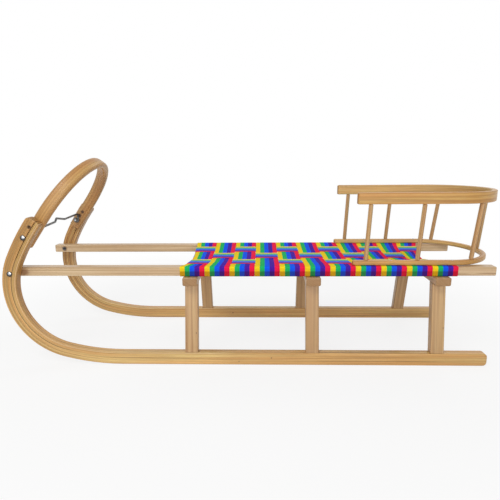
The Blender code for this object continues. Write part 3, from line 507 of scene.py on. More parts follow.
def sweep(bm, spine, half, edge, endRound=(0.0, 0.0), cornerSteps=4, swell=None):
    # a bar of rounded section along a spine; endRound is how far its ends are rounded, side and up,
    # and swell gives what the half height gains at a distance
    outline = roundedOutline(*half, edge, cornerSteps)
    reach = max(endRound)
    turns = evenly(0, math.pi / 2, 5) if reach else []
    ends = [(reach * (1 - math.cos(turn)), 1 - math.sin(turn)) for turn in turns]
    margin = reach * 1.3 if reach else -1.0
    middle = [(float(mark), 0.0) for mark in spine.marks if margin < mark < spine.length - margin]
    rings = []
    for distance, inset in ends + middle + [(spine.length - d, inset) for d, inset in ends[::-1]]:
        centre, side, up = spine.at(distance)
        grown = swell(distance) if swell else 0.0
        sideScale = 1 - endRound[0] * inset / half[0]
        upScale = (half[1] + grown - endRound[1] * inset) / half[1]
        ring = [centre + side * (point.x * sideScale) + up * (point.y * upScale) for point in outline]
        rings.append(ring[::-1])
    return loft(bm, rings)


def spun(bm, profile, matrix, segments=24, flats=None):
    # a profile of (radius, height) turned about local Z; it starts and ends on the axis, or closes
    # into a ring; flats is how far a hexagon's sides are from the axis
    rows = []
    for radius, height in profile:
        row = []
        for i in range(segments if radius else 1):
            turn = math.tau * i / segments
            fromFlat = (turn + math.pi / 6) % (math.pi / 3) - math.pi / 6
            reach = min(radius, flats / math.cos(fromFlat)) if flats else radius
            row.append(bm.verts.new(matrix @ Vector((*ray(turn) * reach, height))))
        rows.append(row)
    for lower, upper in zip(rows, rows[1:] + (rows[:1] if profile[0][0] else [])):
        skin(bm, lower, upper)
    return bm


def pointing(place, axis):
    # local Z laid on a direction
    turn = Vector(axis).to_track_quat("Z", "Y").to_matrix().to_4x4()
    return Matrix.Translation(place) @ turn


def carve(item, bm):
    # cuts closed shapes out of the item
    cutter = meshObject("cutter", bm)
    change = item.modifiers.new("carve", "BOOLEAN")
    change.operation = "DIFFERENCE"
    change.object = cutter
    bpy.context.view_layer.update()
    graph = bpy.context.evaluated_depsgraph_get()
    done = bpy.data.meshes.new_from_object(item.evaluated_get(graph))
    item.modifiers.clear()
    old = item.data
    item.data = done
    bpy.data.meshes.remove(old)
    bpy.data.objects.remove(cutter)


def pinHole(bm, place, oneY, otherY, radius):
    low, high = sorted((oneY, otherY))
    profile = [(0, 0), (radius, 0), (radius, high - low), (0, high - low)]
    spun(bm, profile, pointing((place.x, low, place.y), (0, 1, 0)), 20)


def readRows(source, key):
    values = np.empty(len(source) * 3)
    source.foreach_get(key, values)
    return values.reshape(-1, 3)


def addValues(mesh, name, values):
    kind, key = ("FLOAT", "value") if values.ndim == 1 else ("FLOAT_VECTOR", "vector")
    mesh.attributes.new(name, kind, "POINT").data.foreach_set(key, values.astype(np.float32).ravel())


boards = {"count": 0}
endReach = 0.012       # end grain shows this far along a board


def markGrain(item, spine, half=None, edge=0.0, swell=None):
    # where each point lies along, across and through the straightened piece, and for wood
    # where its end grain and its edges are, which take wear and a painted shade
    mesh = item.data
    points = readRows(mesh.vertices, "co")
    rows = np.arange(len(points))
    steps = np.diff(spine.points, axis=0)
    lengths = np.linalg.norm(steps, axis=1)
    fromStarts = points[:, None] - spine.points[:-1]
    shares = np.clip((fromStarts * steps).sum(2) / lengths ** 2, 0, 1)
    offsets = fromStarts - shares[..., None] * steps
    pick = (offsets ** 2).sum(2).argmin(1)
    along = spine.marks[pick] + shares[rows, pick] * lengths[pick]
    across = offsets[rows, pick] @ spine.side
    through = (offsets[rows, pick] * spine.ups[pick]).sum(1)
    boards["count"] += 1
    shift = boardShift * boards["count"] if half else 0.0
    addValues(mesh, "grainPlace", np.stack([along + shift, across, through], 1))
    if half:
        facing = np.abs((readRows(mesh.vertex_normals, "vector") * spine.tangents[pick]).sum(1))
        ends = (along < endReach) | (along > spine.length - endReach)
        addValues(mesh, "endGrain", np.clip(facing * 1.4 - 0.5, 0, 1) * ends)
        reach = half[1] + (np.array([swell(d) for d in along]) if swell else 0.0)
        corner = np.minimum(np.abs(across) - half[0] + edge, np.abs(through) - reach + edge) / edge
        addValues(mesh, "edgeWear", np.clip(corner * 1.6, 0, 1))


def paint(item, finish):
    item.data.materials.clear()
    item.data.materials.append(finishes[finish][0])


def dress(item, finish, nodes=(), body="sled"):
    item.data.shade_smooth()
    item.data.set_sharp_from_angle(angle=creaseAngle)
    paint(item, finish)
    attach(item, body)
    if nodes:
        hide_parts(*nodes)


def addPiece(name, bm, finish, nodes=(), cuts=(), body="sled"):
    item = meshObject(name, bm)
    for cutter in cuts:
        carve(item, cutter)
    dress(item, finish, nodes, body)
    return item


def woodPiece(name, node, spine, half, edge, finish, endRound, cuts=(), swell=None):
    bm = sweep(bmesh.new(), spine, half, edge, endRound, swell=swell)
    item = addPiece(name, bm, finish, [node], cuts)
    markGrain(item, spine, half, edge, swell)


# Camera: the photograph's view, from the left and a little above

photoView = {
    "place": (0.0198, -1.1009, 0.4991), "pitch": 0.2199, "yaw": -0.0296, "roll": -0.0086,
    "focal": 416.55, "picture": 500, "sensor": 36,
}


def addCamera(view):
    pitch, yaw, roll = view["pitch"], view["yaw"], view["roll"]
    right = Vector((math.cos(yaw), -math.sin(yaw), 0))
    ahead = Vector((math.sin(yaw) * math.cos(pitch), math.cos(yaw) * math.cos(pitch), -math.sin(pitch)))
    up = right.cross(ahead)
    tilted = right * math.cos(roll) + up * math.sin(roll)
    top = up * math.cos(roll) - right * math.sin(roll)
    data = bpy.data.cameras.new("photoCamera")
    data.sensor_width = view["sensor"]
    data.lens = view["focal"] * view["sensor"] / view["picture"]
    camera = linkObject("photoCamera", data)
    turn = Matrix((tilted, top, -ahead)).transposed().to_4x4()
    camera.matrix_world = Matrix.Translation(view["place"]) @ turn
    bpy.context.scene.camera = camera


addCamera(photoView)


# Runners and their shoes

runner = {
    "outer": 0.1645, "thickness": 0.0204, "height": 0.031, "edge": 0.0016, "endRound": 0.009,
    "straight": 0.885, "sweep": (0.54, math.radians(15)), "bend": (0.163, math.radians(102)),
    "horn": (0.57, math.radians(11.2)), "swell": 0.0045, "step": 0.04, "turnStep": math.radians(2.5),
    "kerfLength": 0.105, "kerfWidth": 0.0017, "kerfOffset": 0.0052, "kerfExtra": 0.002,
}
shoe = {
    "width": 0.014, "thickness": 0.0025, "proud": 0.001, "margin": 0.012, "sweepShare": 0.8, "edge": 0.0006,
    "screws": (0.05, 0.33, 0.61, 0.87), "screwRadius": 0.0031, "screwSunk": 0.0003, "screwDepth": 0.0016,
    "screwPlay": 0.0002,
}
bolts = {
    "radius": 0.0025, "headRadius": 0.0065, "headHeight": 0.0036, "rim": 0.0006, "spare": 0.002,
    "threads": 7, "root": 0.86, "nutWidth": 0.008, "nutHeight": 0.004, "chamfer": 0.0006,
    "washerRadius": 0.0056, "washer": 0.0008, "washerEdge": 0.0002,
}
nail = {"place": Vector((-0.51854, 0.34496)), "radius": 0.0026, "depth": 0.0024}
runnerInner = runner["outer"] - runner["thickness"]
boltHole = bolts["radius"] + gap


def runnerSpine(side):
    # from the rear end along the floor, then up through three arcs
    count = math.ceil(runner["straight"] / runner["step"])
    line, heading = [Vector((0, runner["height"] / 2))], math.pi
    for _ in range(count):
        line.append(line[-1] + ray(heading) * (runner["straight"] / count))
    for radius, angle in (runner["sweep"], runner["bend"], runner["horn"]):
        centre = line[-1] + Vector((math.sin(heading), -math.cos(heading))) * radius
        count = math.ceil(angle / runner["turnStep"])
        for i in range(1, count + 1):
            turn = heading - angle * i / count
            line.append(centre - Vector((math.sin(turn), -math.cos(turn))) * radius)
        heading -= angle
    y = side * (runner["outer"] - runner["thickness"] / 2)
    return Spine([origin + Vector((point.x, y, point.y)) for point in line], (0, 1, 0))


def hornSwell(distance):
    # the section grows along the nose and on through the horn, evenly with the turn
    start = runner["straight"] + math.prod(runner["sweep"])
    nose, turns = math.prod(runner["bend"]), runner["bend"][1] + runner["horn"][1]
    share = np.interp(distance, [start, start + nose, start + nose + math.prod(runner["horn"])],
                      [0.0, runner["bend"][1] / turns, 1.0])
    return float(share) * runner["swell"] / 2


def buildShoe(sideName, spine, end):
    drop = runner["height"] / 2 + shoe["proud"]
    plate = spine.part(shoe["margin"] + gap, end, shoe["thickness"] / 2 - drop)
    half, edge = (shoe["width"] / 2, shoe["thickness"] / 2), shoe["edge"]
    radius, sunk, depth = shoe["screwRadius"], shoe["screwSunk"], shoe["screwDepth"]
    hole = radius + shoe["screwPlay"]
    cuts, heads = bmesh.new(), bmesh.new()
    for distance in shoe["screws"]:
        centre, _, up = spine.at(distance)
        matrix = pointing(centre - up * drop, up)
        spun(cuts, [(0, -beyond), (hole, -beyond), (hole, depth), (0, depth)], matrix, 20)
        profile = [(0, sunk), (radius * 0.6, sunk), (radius, sunk * 2), (radius, depth), (0, depth)]
        spun(heads, profile, matrix, 20)
    bm = sweep(bmesh.new(), plate, half, edge, (edge, edge))
    addPiece(f"{sideName}_runner_shoe", bm, "shoeSteel", [f"runner_shoe_{sideName}"], [cuts])
    addPiece(f"{sideName}_shoe_screws", heads, "zincSteel")


def buildRunners():
    half = (runner["thickness"] / 2, runner["height"] / 2)
    shoeEnd = runner["straight"] + math.prod(runner["sweep"]) * shoe["sweepShare"]
    grooveDepth = shoe["thickness"] - shoe["proud"] + gap
    for sideName, side in sides.items():
        spine = runnerSpine(side)
        kerfStart = spine.length - runner["kerfLength"]
        kerf = spine.part(kerfStart, spine.length, runner["kerfOffset"], runner["kerfExtra"])
        cuts = sweep(bmesh.new(), kerf, (half[0] + beyond, runner["kerfWidth"] / 2), 0)
        groove = spine.part(shoe["margin"], shoeEnd + gap, -half[1])
        sweep(cuts, groove, (shoe["width"] / 2 + gap, grooveDepth), 0)
        inner, outer = side * (runnerInner - beyond), side * (runner["outer"] + beyond)
        for place in boltPlaces.values():
            pinHole(cuts, place, inner, outer, boltHole)
        pinHole(cuts, nail["place"], outer, side * (runner["outer"] - nail["depth"]), nail["radius"])
        woodPiece(f"{sideName}_runner", f"runner_{sideName}", spine, half, runner["edge"], "runnerWood",
                  (runner["edge"], runner["endRound"]), [cuts], hornSwell)
        buildShoe(sideName, spine, shoeEnd)


buildRunners()
print("runners and shoes")


# Legs, crossbars and seat rails

leg = {
    "width": 0.0318, "depth": 0.0204, "splay": math.radians(12.1), "edge": 0.0022,
    "tenon": 0.012, "shoulder": 0.005, "soft": 0.0007,
    "shifts": {"rear_left": (-0.0044, 0.0006)},      # along X at its foot and head, as that leg leans
}
crossbar = {"length": 0.310, "width": 0.035, "height": 0.0207, "edge": 0.004, "endRound": 0.003}
rail = {
    "thickness": 0.0253, "height": 0.0218, "top": 0.2421, "rear": 0.0088, "front": 1.1692, "edge": 0.0025,
}
railOuter = runnerInner - gap
railInner = railOuter - rail["thickness"]
railMiddle = railOuter - rail["thickness"] / 2
railBottom = rail["top"] - rail["height"]
crossbarTop = railBottom - webbing["thickness"] - 2 * gap
crossbarBottom = crossbarTop - crossbar["height"]


def buildLegs():
    low, high, soft = runner["height"] + gap, crossbarBottom - gap, leg["soft"]
    full, slim, tenon = [(leg["width"] / 2 - less, leg["depth"] / 2 - less)
                         for less in (0, soft, leg["shoulder"])]
    levels = [(low - leg["tenon"], tenon), (low, tenon), (low + 0.0001, slim)]
    levels += [(z, full) for z in evenly(low + soft, high - soft, 6)]
    levels += [(high - 0.0001, slim), (high, tenon), (high + leg["tenon"], tenon)]
    for placeName, distance in trestles.items():
        for sideName, side in sides.items():
            shift = leg["shifts"].get(f"{placeName}_{sideName}", (0.0, 0.0))

            def centre(z):
                x = -distance + float(np.interp(z, (low, high), shift))
                splayed = math.tan(leg["splay"]) * (z - runner["height"])
                return origin + Vector((x, side * (runner["outer"] - leg["depth"] / 2 - splayed), z))

            rings = []
            for z, half in levels:
                outline = roundedOutline(*half, leg["edge"])
                rings.append([centre(z) + Vector((*point, 0)) for point in outline])
            item = addPiece(f"{sideName}_{placeName}_leg", loft(bmesh.new(), rings), "legWood",
                            [f"leg_{placeName}_{sideName}"])
            spine = Spine([centre(low - leg["tenon"]), centre(high + leg["tenon"])], (1, 0, 0))
            markGrain(item, spine, full, leg["edge"])


def buildCrossbars():
    half, reach = (crossbar["width"] / 2, crossbar["height"] / 2), crossbar["length"] / 2
    for placeName, distance in trestles.items():
        line = [origin + Vector((-distance, y, crossbarTop - half[1])) for y in evenly(-reach, reach, 4)]
        woodPiece(f"{placeName}_crossbar", f"crossbar_{placeName}", Spine(line, (1, 0, 0)), half,
                  crossbar["edge"], "legWood", (crossbar["endRound"], crossbar["endRound"]))


def buildRails():
    half, edge = (rail["thickness"] / 2, rail["height"] / 2), rail["edge"]
    for sideName, side in sides.items():
        y, z = side * railMiddle, rail["top"] - half[1]
        line = [origin + Vector((x, y, z)) for x in evenly(rail["rear"], -rail["front"], 24)]
        cuts, reach = bmesh.new(), half[0] + beyond
        pinHole(cuts, boltPlaces["rail"], y - reach, y + reach, boltHole)
        woodPiece(f"{sideName}_seat_rail", f"seat_rail_{sideName}", Spine(line, (0, 1, 0)), half, edge,
                  "railWood", (edge, edge), [cuts])


buildLegs()
buildCrossbars()
buildRails()
print("legs, crossbars and rails")


# Grab loop

loop = {
    "stock": 0.018, "width": 0.032, "edge": 0.0084, "endRound": 0.0025, "lean": math.radians(54),
    "leg": 0.060, "bow": 0.149, "tail": 0.024, "setBack": 0.003,
}
loopInner = runnerInner - gap - loop["stock"]
hornAxis = Vector((boltPlaces["horn"].x, 0, boltPlaces["horn"].y))


def buildGrabLoop():
    up = Vector((math.cos(loop["lean"]), 0, math.sin(loop["lean"])))
    out = Vector((0, 1, 0)).cross(up)
    base = hornAxis + out * loop["setBack"]
    half = loopInner + loop["stock"] / 2
    heights = evenly(-loop["tail"], loop["leg"], 4)[:-1]
    flat = [(-half, v) for v in heights]
    for turn in evenly(0, math.pi, 60):
        flat.append((-half * math.cos(turn), loop["leg"] + loop["bow"] * math.sin(turn)))
    flat += [(half, v) for v in heights[::-1]]
    spine = Spine([base + Vector((0, u, 0)) + up * v for u, v in flat], out)
    cuts, reach = bmesh.new(), runnerInner + beyond
    pinHole(cuts, boltPlaces["horn"], -reach, reach, boltHole)
    woodPiece("bent_grab_loop", "grab_loop", spine, (loop["width"] / 2, loop["stock"] / 2), loop["edge"],
              "loopWood", (loop["endRound"], loop["endRound"]), [cuts])


buildGrabLoop()
print("grab loop")


# Bolts, nuts, washers and the pull rod

rod = {
    "radius": 0.0028, "corner": 0.005, "eyeGap": math.radians(100), "leftRise": 0.010, "rightRise": 0.018,
    "kink": ((-0.0172, 0.0152), (-0.0085, 0.0234), (0.0385, 0.0146)),      # across, and above the bolts
    "hold": (0.08, 0.5, 0.92, 1.0),      # shares of each stretch that keep the kink's corners tight
    "endLength": 0.0005, "endShare": 0.75,
}


def boltProfile(length):
    # a low dome with a thin rim, a shank and a threaded end
    radius, height, shank, rim = bolts["headRadius"], bolts["headHeight"], bolts["radius"], bolts["rim"]
    rows = [(0, -gap - height)]
    for turn in evenly(0, math.pi / 2, 8)[1:]:
        rows.append((radius * math.sin(turn), -gap - rim - (height - rim) * math.cos(turn)))
    threadStart = length - bolts["spare"] - bolts["nutHeight"]
    rows += [(radius, -gap), (shank, -gap), (shank, threadStart)]
    for i in range(bolts["threads"]):
        z = threadStart + (length - threadStart) * (i + 0.5) / bolts["threads"]
        rows.append((shank * (1.0 if i % 2 else bolts["root"]), z))
    return rows + [(shank * 0.8, length), (0, length)]


def nutProfile(low, high):
    # corners turned down at both ends, round a threaded bore
    flat, inner, turned = bolts["nutWidth"] / 2, bolts["radius"] + gap / 2, bolts["chamfer"]
    outer = flat / math.cos(math.pi / 6)
    return [(flat, low), (outer, low + turned), (outer, high - turned), (flat, high),
            (inner, high), (inner, low)]


def washerProfile(low, high):
    outer, soft = bolts["washerRadius"], bolts["washerEdge"]
    return [(boltHole, low), (outer - soft, low), (outer, low + soft), (outer, high - soft),
            (outer - soft, high), (boltHole, high)]


def buildBolts():
    held = {"horn": loop["stock"] + gap + 2 * rod["radius"], "rail": rail["thickness"]}
    for kind, place in boltPlaces.items():
        seat = runner["thickness"] + gap + held[kind] + gap
        nutEnd = seat + bolts["nutHeight"]
        shapes = {
            "bolt": ("domeSteel", boltProfile(nutEnd + bolts["spare"]), None, f"{kind}_bolt"),
            "nut": ("rodSteel", nutProfile(seat + bolts["washer"] + 0.0001, nutEnd), bolts["nutWidth"] / 2,
                    f"{kind}_bolt_nut"),
            "washer": ("rodSteel", washerProfile(seat, seat + bolts["washer"]), None, None),
        }
        for sideName, side in sides.items():
            matrix = pointing((place.x, side * runner["outer"], place.y), (0, -side, 0))
            for name, (finish, profile, flats, node) in shapes.items():
                bm = spun(bmesh.new(), profile, matrix, flats=flats)
                addPiece(f"{sideName}_{kind}_{name}", bm, finish, [f"{node}_{sideName}"] if node else ())


def tube(points, radius, segments=12):
    # a round bar through a smooth line of points, its ends a little rounded
    tangents = [(b - a).normalized() for a, b in zip(points[:1] + points[:-1], points[1:] + points[-1:])]
    normal = tangents[0].orthogonal().normalized()
    spokes = [ray(math.tau * i / segments) for i in range(segments)]
    rings = []
    for i, (point, tangent) in enumerate(zip(points, tangents)):
        if i:
            normal = (tangents[i - 1].rotation_difference(tangent) @ normal).normalized()
        other = tangent.cross(normal)
        reaches = [normal * spoke.x + other * spoke.y for spoke in spokes]
        end = tangent * rod["endLength"]
        small = radius * rod["endShare"]
        if i == 0:
            rings.append([point - end + reach * small for reach in reaches])
        rings.append([point + reach * radius for reach in reaches])
        if i == len(points) - 1:
            rings.append([point + end + reach * small for reach in reaches])
    return loft(bmesh.new(), rings)


def rodEnd(side, rise):
    # an open eye round the bolt, and a bend inwards at its rise above the bolts
    eye, corner = bolts["radius"] + gap + rod["radius"], rod["corner"]
    plane = loopInner - gap - rod["radius"]
    points = []
    for turn in evenly(rod["eyeGap"], math.tau, 24):
        points.append(Vector((eye * math.cos(turn), side * plane, eye * math.sin(turn))))
    for turn in evenly(0, math.pi / 2, 8):
        inward = corner * (1 - math.cos(turn))
        points.append(Vector((eye, side * (plane - inward), rise - corner + corner * math.sin(turn))))
    return points


def smoothed(points, rounds=2):
    for _ in range(rounds):
        fresh = [points[0]]
        for one, other in zip(points, points[1:]):
            fresh += [one.lerp(other, 0.25), one.lerp(other, 0.75)]
        points = fresh + [points[-1]]
    return points


def buildPullRod():
    left, right = rodEnd(-1, rod["leftRise"]), rodEnd(1, rod["rightRise"])
    run = [left[-1]] + [Vector((left[-1].x, y, rise)) for y, rise in rod["kink"]] + [right[-1]]
    dense = [run[0]]
    for one, other in zip(run, run[1:]):
        dense += [one.lerp(other, share) for share in rod["hold"]]
    points = left[:-1] + smoothed(dense) + right[-2::-1]
    bm = tube([hornAxis + point for point in points], rod["radius"])
    addPiece("steel_pull_rod", bm, "rodSteel", ["pull_rod"], body="rod")


buildBolts()
buildPullRod()
print("bolts and pull rod")


# Webbing seat

draws = {      # how far the first and last cross straps are drawn in across the seat, most at peak
    "front": {"most": 0.0178, "peak": -0.07, "passed": 0.4,
              "far": 0.215, "farCurve": 1.5, "near": 0.0713, "nearCurve": 2.4},
    "rear": {"most": 0.049, "peak": -0.045, "passed": 0.55,
             "far": 0.18, "farCurve": 1.43, "near": 0.086, "nearCurve": 1.43},
}
tack = {"radius": 0.0034, "height": 0.0009, "inset": 0.004, "onRail": 0.014, "onCrossbar": 0.015,
        "behind": 0.00775}
strapXs = [webbing["pitch"] * (index + 0.5) - webbing["front"] for index in range(webbing["crossStraps"])]
rowYs = {name: webbing["spacing"] * row + webbing["rowShift"]
         for name, row in (("left", -1), ("centre", 0), ("right", 1))}
weaveStep = (webbing["thickness"] + gap) / 2
strapOffset = gap + webbing["thickness"] / 2
strapLevel = rail["top"] + strapOffset


def longLift(row, index):
    # a lengthwise strap goes over every second cross strap, the next one over the others
    return weaveStep if (row + index) % 2 == 0 else -weaveStep


def drawAt(draw, y):
    far = 1 - np.clip((y - draw["peak"]) / draw["far"], 0, 1) ** draw["farCurve"]
    near = 1 - np.clip((draw["peak"] - y) / draw["near"], 0, 1) ** draw["nearCurve"]
    return draw["most"] * far * near


def drawn(x, y):
    # how far the lengthwise straps draw the webbing along X; each next strap passes on a share
    line = np.clip((x + webbing["front"]) / webbing["pitch"], 0, webbing["crossStraps"])
    front, rear = draws["front"], draws["rear"]
    gained = drawAt(front, y) * front["passed"] ** line
    return gained - drawAt(rear, y) * rear["passed"] ** (webbing["crossStraps"] - line)


def settle(item, rowY=None):
    # lets a strap sag and moves its points with the draw; a lengthwise strap already has the draw
    # of its middle, and its ends keep their places on the crossbars
    mesh = item.data
    points = readRows(mesh.vertices, "co")
    x, y, z = points[:, 0] - origin.x, points[:, 1], points[:, 2] - origin.z
    if rowY is None:
        share = (z > railBottom + 0.001).astype(float)
        move = drawn(x, y)
        # painted shade down the outside of the rails: lighter near the top, full below a set height
        lowerShadeRamp = np.clip((webbing["fullShadeHeight"] - z) / webbing["lowerShadeRamp"], 0, 1)
        turned = np.clip((rail["top"] - z) / webbing["sideShadeFade"], 0, 1)
        addValues(mesh, "hang", turned * webbing["upperShadeShare"] + lowerShadeRamp * (1 - webbing["upperShadeShare"]))
    else:
        foot = crossbarTop + 0.002
        share = np.clip((z - foot) / (rail["top"] - foot), 0, 1)
        plain = x
        for _ in range(12):
            plain = x - drawn(plain, rowY)
        move = drawn(plain, y) - drawn(plain, rowY)
    points[:, 0] += move * share
    points[:, 2] -= webbing["sag"] * (1 - np.clip(np.abs(y) / railInner, 0, 1) ** 4) * share
    mesh.vertices.foreach_set("co", points.astype(np.float32).ravel())
    mesh.update()


def cornerArc(centre, radius, start, finish):
    x, y = centre
    return [(x + radius * math.cos(turn), y + radius * math.sin(turn)) for turn in evenly(start, finish, 8)]


def eased(one, other, steps=6):
    # a soft rise from one level to the next
    points = []
    for share in evenly(0, 1, steps)[1:-1]:
        lift = share * share * (3 - 2 * share)
        points.append((one[0] + (other[0] - one[0]) * share, one[1] + (other[1] - one[1]) * lift))
    return points


def crossStrapLine(index):
    # from under one rail up its outside, over the seat and down to under the other rail
    y, radius = railOuter - rail["edge"], rail["edge"] + strapOffset
    low, high = railBottom + rail["edge"], rail["top"] - rail["edge"]
    wrap = [(railInner + webbing["tuck"], railBottom - strapOffset)]
    wrap += cornerArc((y, low), radius, -math.pi / 2, 0)
    wrap += [(y + radius, z) for z in evenly(low, high, 12)[1:-1]]
    wrap += cornerArc((y, high), radius, 0, math.pi / 2)
    wrap += [(inward, strapLevel) for inward in evenly(y, railInner, 6)[1:]]
    line = [(-a, b) for a, b in wrap]
    edge = (webbing["spacing"] - webbing["slope"]) / 2
    for row, middle in enumerate(rowYs.values()):
        height = strapLevel - longLift(row, index)
        start, finish = (middle - edge, height), (middle + edge, height)
        line += eased(line[-1], start) + [start, (middle, height), finish]
    return line + eased(line[-1], wrap[-1]) + wrap[::-1]


def strapEndLine(barX, edgeX, height, sign):
    # from the side of a crossbar's top with more room, and up to the seat's edge
    thickness = webbing["thickness"]
    clear = edgeX + sign * (2 * gap + thickness)
    reach = crossbar["width"] / 2 - crossbar["edge"]
    start = max(barX - reach, barX + reach, key=lambda x: abs(x - clear))
    bend = webbing["footBend"]
    low, foot = crossbarTop + strapOffset, clear + math.copysign(bend, start - clear)
    line = [(start, low), ((start + foot) / 2, low), (foot, low)]
    line.append((clear + (foot - clear) * webbing["footShare"], low + webbing["footRise"]))
    line += [(clear, low + bend)]
    line += [(clear, (low + height) / 2), (clear, height - thickness)]
    for turn in (math.radians(30), math.radians(60)):
        inward, rise = thickness * (1 - math.cos(turn)), thickness * math.sin(turn)
        line.append((clear - sign * inward, height - thickness + rise))
    return line + [(clear - sign * thickness, height)]


def longStrapLine(row, y):
    heights = [strapLevel + longLift(row, index) for index in range(webbing["crossStraps"])]
    half, last = webbing["width"] / 2, webbing["crossStraps"] - 1
    edges = [[x + float(drawn(x, y)) for x in (middle - half, middle + half)] for middle in strapXs]
    line = strapEndLine(-trestles["front"], edges[0][0], heights[0], -1)
    rearEnd = strapEndLine(-trestles["rear"], edges[last][1], heights[last], 1)[::-1]
    for index, ((front, rear), height) in enumerate(zip(edges, heights)):
        start = front + webbing["inside"] if index else line[-1][0] + webbing["thickness"]
        finish = rear - webbing["inside"] if index < last else rearEnd[0][0] - webbing["thickness"]
        if index:
            line += eased(line[-1], (start, height), 4)
        line += [(start, height), ((start + finish) / 2, height), (finish, height)]
    return line + rearEnd


def strapPiece(name, node, line, side, rowY=None):
    spine = Spine([origin + Vector(point) for point in line], side)
    finish, width = ("acrossTape", webbing["width"]) if rowY is None else ("alongTape", webbing["rowWidth"])
    bm = sweep(bmesh.new(), spine, (width / 2, webbing["thickness"] / 2), webbing["edge"], cornerSteps=3)
    item = meshObject(name, bm)
    markGrain(item, spine)
    settle(item, rowY)
    dress(item, finish, [node])


def buildWebbing():
    for index, x in enumerate(strapXs):
        line = [(x, y, z) for y, z in crossStrapLine(index)]
        strapPiece(f"webbing_across_{index + 1:02d}", f"cross_strap_{index + 1:02d}", line, (1, 0, 0))
    for row, (place, y) in enumerate(rowYs.items()):
        line = [(x, y, z) for x, z in longStrapLine(row, y)]
        strapPiece(f"webbing_along_{place}", f"long_strap_{place}", line, (0, -1, 0),
                   y)


def buildTacks():
    # two flat heads at each strap end, under the rails and on the crossbars
    radius, height = tack["radius"], tack["height"]
    profile = [(0, 0), (radius * 0.9, 0), (radius, height * 0.4), (radius * 0.7, height * 0.85),
               (0, height)]
    inner = railInner + webbing["tuck"] + tack["inset"]
    bottom, top = railBottom - gap - webbing["thickness"], crossbarTop + gap + webbing["thickness"]
    under = [(x + sign * tack["onRail"], side * inner, bottom)
             for x in strapXs for side in sides.values() for sign in (-1, 1)]
    over = [(tack["behind"] - trestles[end], y + sign * tack["onCrossbar"], top)
            for y in rowYs.values() for end in ("front", "rear") for sign in (-1, 1)]
    for name, places, up in (("rail_tacks", under, -1), ("crossbar_tacks", over, 1)):
        bm = bmesh.new()
        for place in places:
            spun(bm, profile, pointing(origin + Vector(place), (0, 0, up)), 14)
        addPiece(name, bm, "zincSteel")


buildWebbing()
buildTacks()
print("webbing seat")


# Backrest

strapTop = rail["top"] + gap + webbing["thickness"]
hoop = {"stock": 0.012, "height": 0.012, "front": 0.3265, "armEnd": 0.0875, "bow": 0.1242, "edge": 0.003,
        "bottom": strapTop + gap}
band = {"stock": 0.012, "height": 0.0268, "front": 0.321, "armEnd": 0.080, "bow": 0.1276, "edge": 0.0028,
        "top": 0.4158}
band["bottom"] = band["top"] - band["height"]
backHalfWidth = railMiddle + hoop["stock"] / 2      # to the outside; the arms lie over the rails' middles
armRound = 0.0055                                   # how far the arms' ends are rounded
spindle = {
    "radius": 0.0052, "tenon": 0.0035, "shoulder": 0.0008, "soft": 0.0007, "hoopTenon": 0.007,
    "bandTenon": 0.014, "grainSpare": 0.02,
    "grainHalf": (0.1, 0.1), "grainEdge": 0.001,      # so wide that no point counts as an edge for wear and painted shade
    "pairs": {"front": (0.2945, 0.2885), "middle": (0.173, 0.165), "rear": (0.043, 0.029)},
}
screw = {
    "headRadius": 0.0036, "shankRadius": 0.0019, "depth": 0.014, "point": 0.003, "neck": 0.0024,
    "dome": 0.0006, "slotTurn": 0.4, "slotHalf": (0.0012, 0.0004), "slotReach": 0.62,
    "places": {"front": 0.236, "rear": 0.091},
}
hoopTop = hoop["bottom"] + hoop["height"]


def bowHalves(bow):
    return backHalfWidth - bow["stock"] / 2, bow["bow"] - bow["stock"] / 2


def bowSpine(bow):
    halfWidth, depth = bowHalves(bow)
    arm = evenly(-bow["front"], -bow["armEnd"], 5)[:-1]
    flat = [(x, halfWidth) for x in arm]
    for turn in evenly(math.pi / 2, -math.pi / 2, 60):
        flat.append((depth * math.cos(turn) - bow["armEnd"], halfWidth * math.sin(turn)))
    flat += [(x, -halfWidth) for x in arm[::-1]]
    z = bow["bottom"] + bow["height"] / 2
    return Spine([origin + Vector((x, y, z)) for x, y in flat], (0, 0, 1))


def bowY(x, bow):
    halfWidth, depth = bowHalves(bow)
    share = min(1, max(0, (x + bow["armEnd"]) / depth))
    return halfWidth * math.sqrt(1 - share ** 2)


def spindleEnds():
    ends = []
    for sideName, side in sides.items():
        for name, (foot, head) in spindle["pairs"].items():
            low = Vector((-foot, side * bowY(-foot, hoop), hoopTop))
            high = Vector((-head, side * bowY(-head, band), band["bottom"]))
            ends.append((f"{name}_{sideName}", low, high))
    low = Vector((bowHalves(hoop)[1] - hoop["armEnd"], 0, hoopTop))
    high = Vector((bowHalves(band)[1] - band["armEnd"], 0, band["bottom"]))
    return [(name, origin + low, origin + high) for name, low, high in ends + [("centre", low, high)]]


def buildSpindles():
    radius, tenon, lift, soft = spindle["radius"], spindle["tenon"], spindle["shoulder"], spindle["soft"]
    for name, low, high in spindleEnds():
        axis = high - low
        foot, head = -spindle["hoopTenon"], axis.length + spindle["bandTenon"]
        top = axis.length - lift
        profile = [(0, foot), (tenon, foot), (tenon, lift), (radius - soft, lift)]
        profile += [(radius, z) for z in evenly(lift + soft, top - soft, 6)]
        profile += [(radius - soft, top), (tenon, top), (tenon, head), (0, head)]
        bm = spun(bmesh.new(), profile, pointing(low, axis))
        item = addPiece(f"{name}_spindle", bm, "spindleWood", [f"spindle_{name}"])
        unit = axis.normalized()
        spare = unit * spindle["grainSpare"]
        spine = Spine([low - spare, high + spare], unit.orthogonal().normalized())
        markGrain(item, spine, spindle["grainHalf"], spindle["grainEdge"])


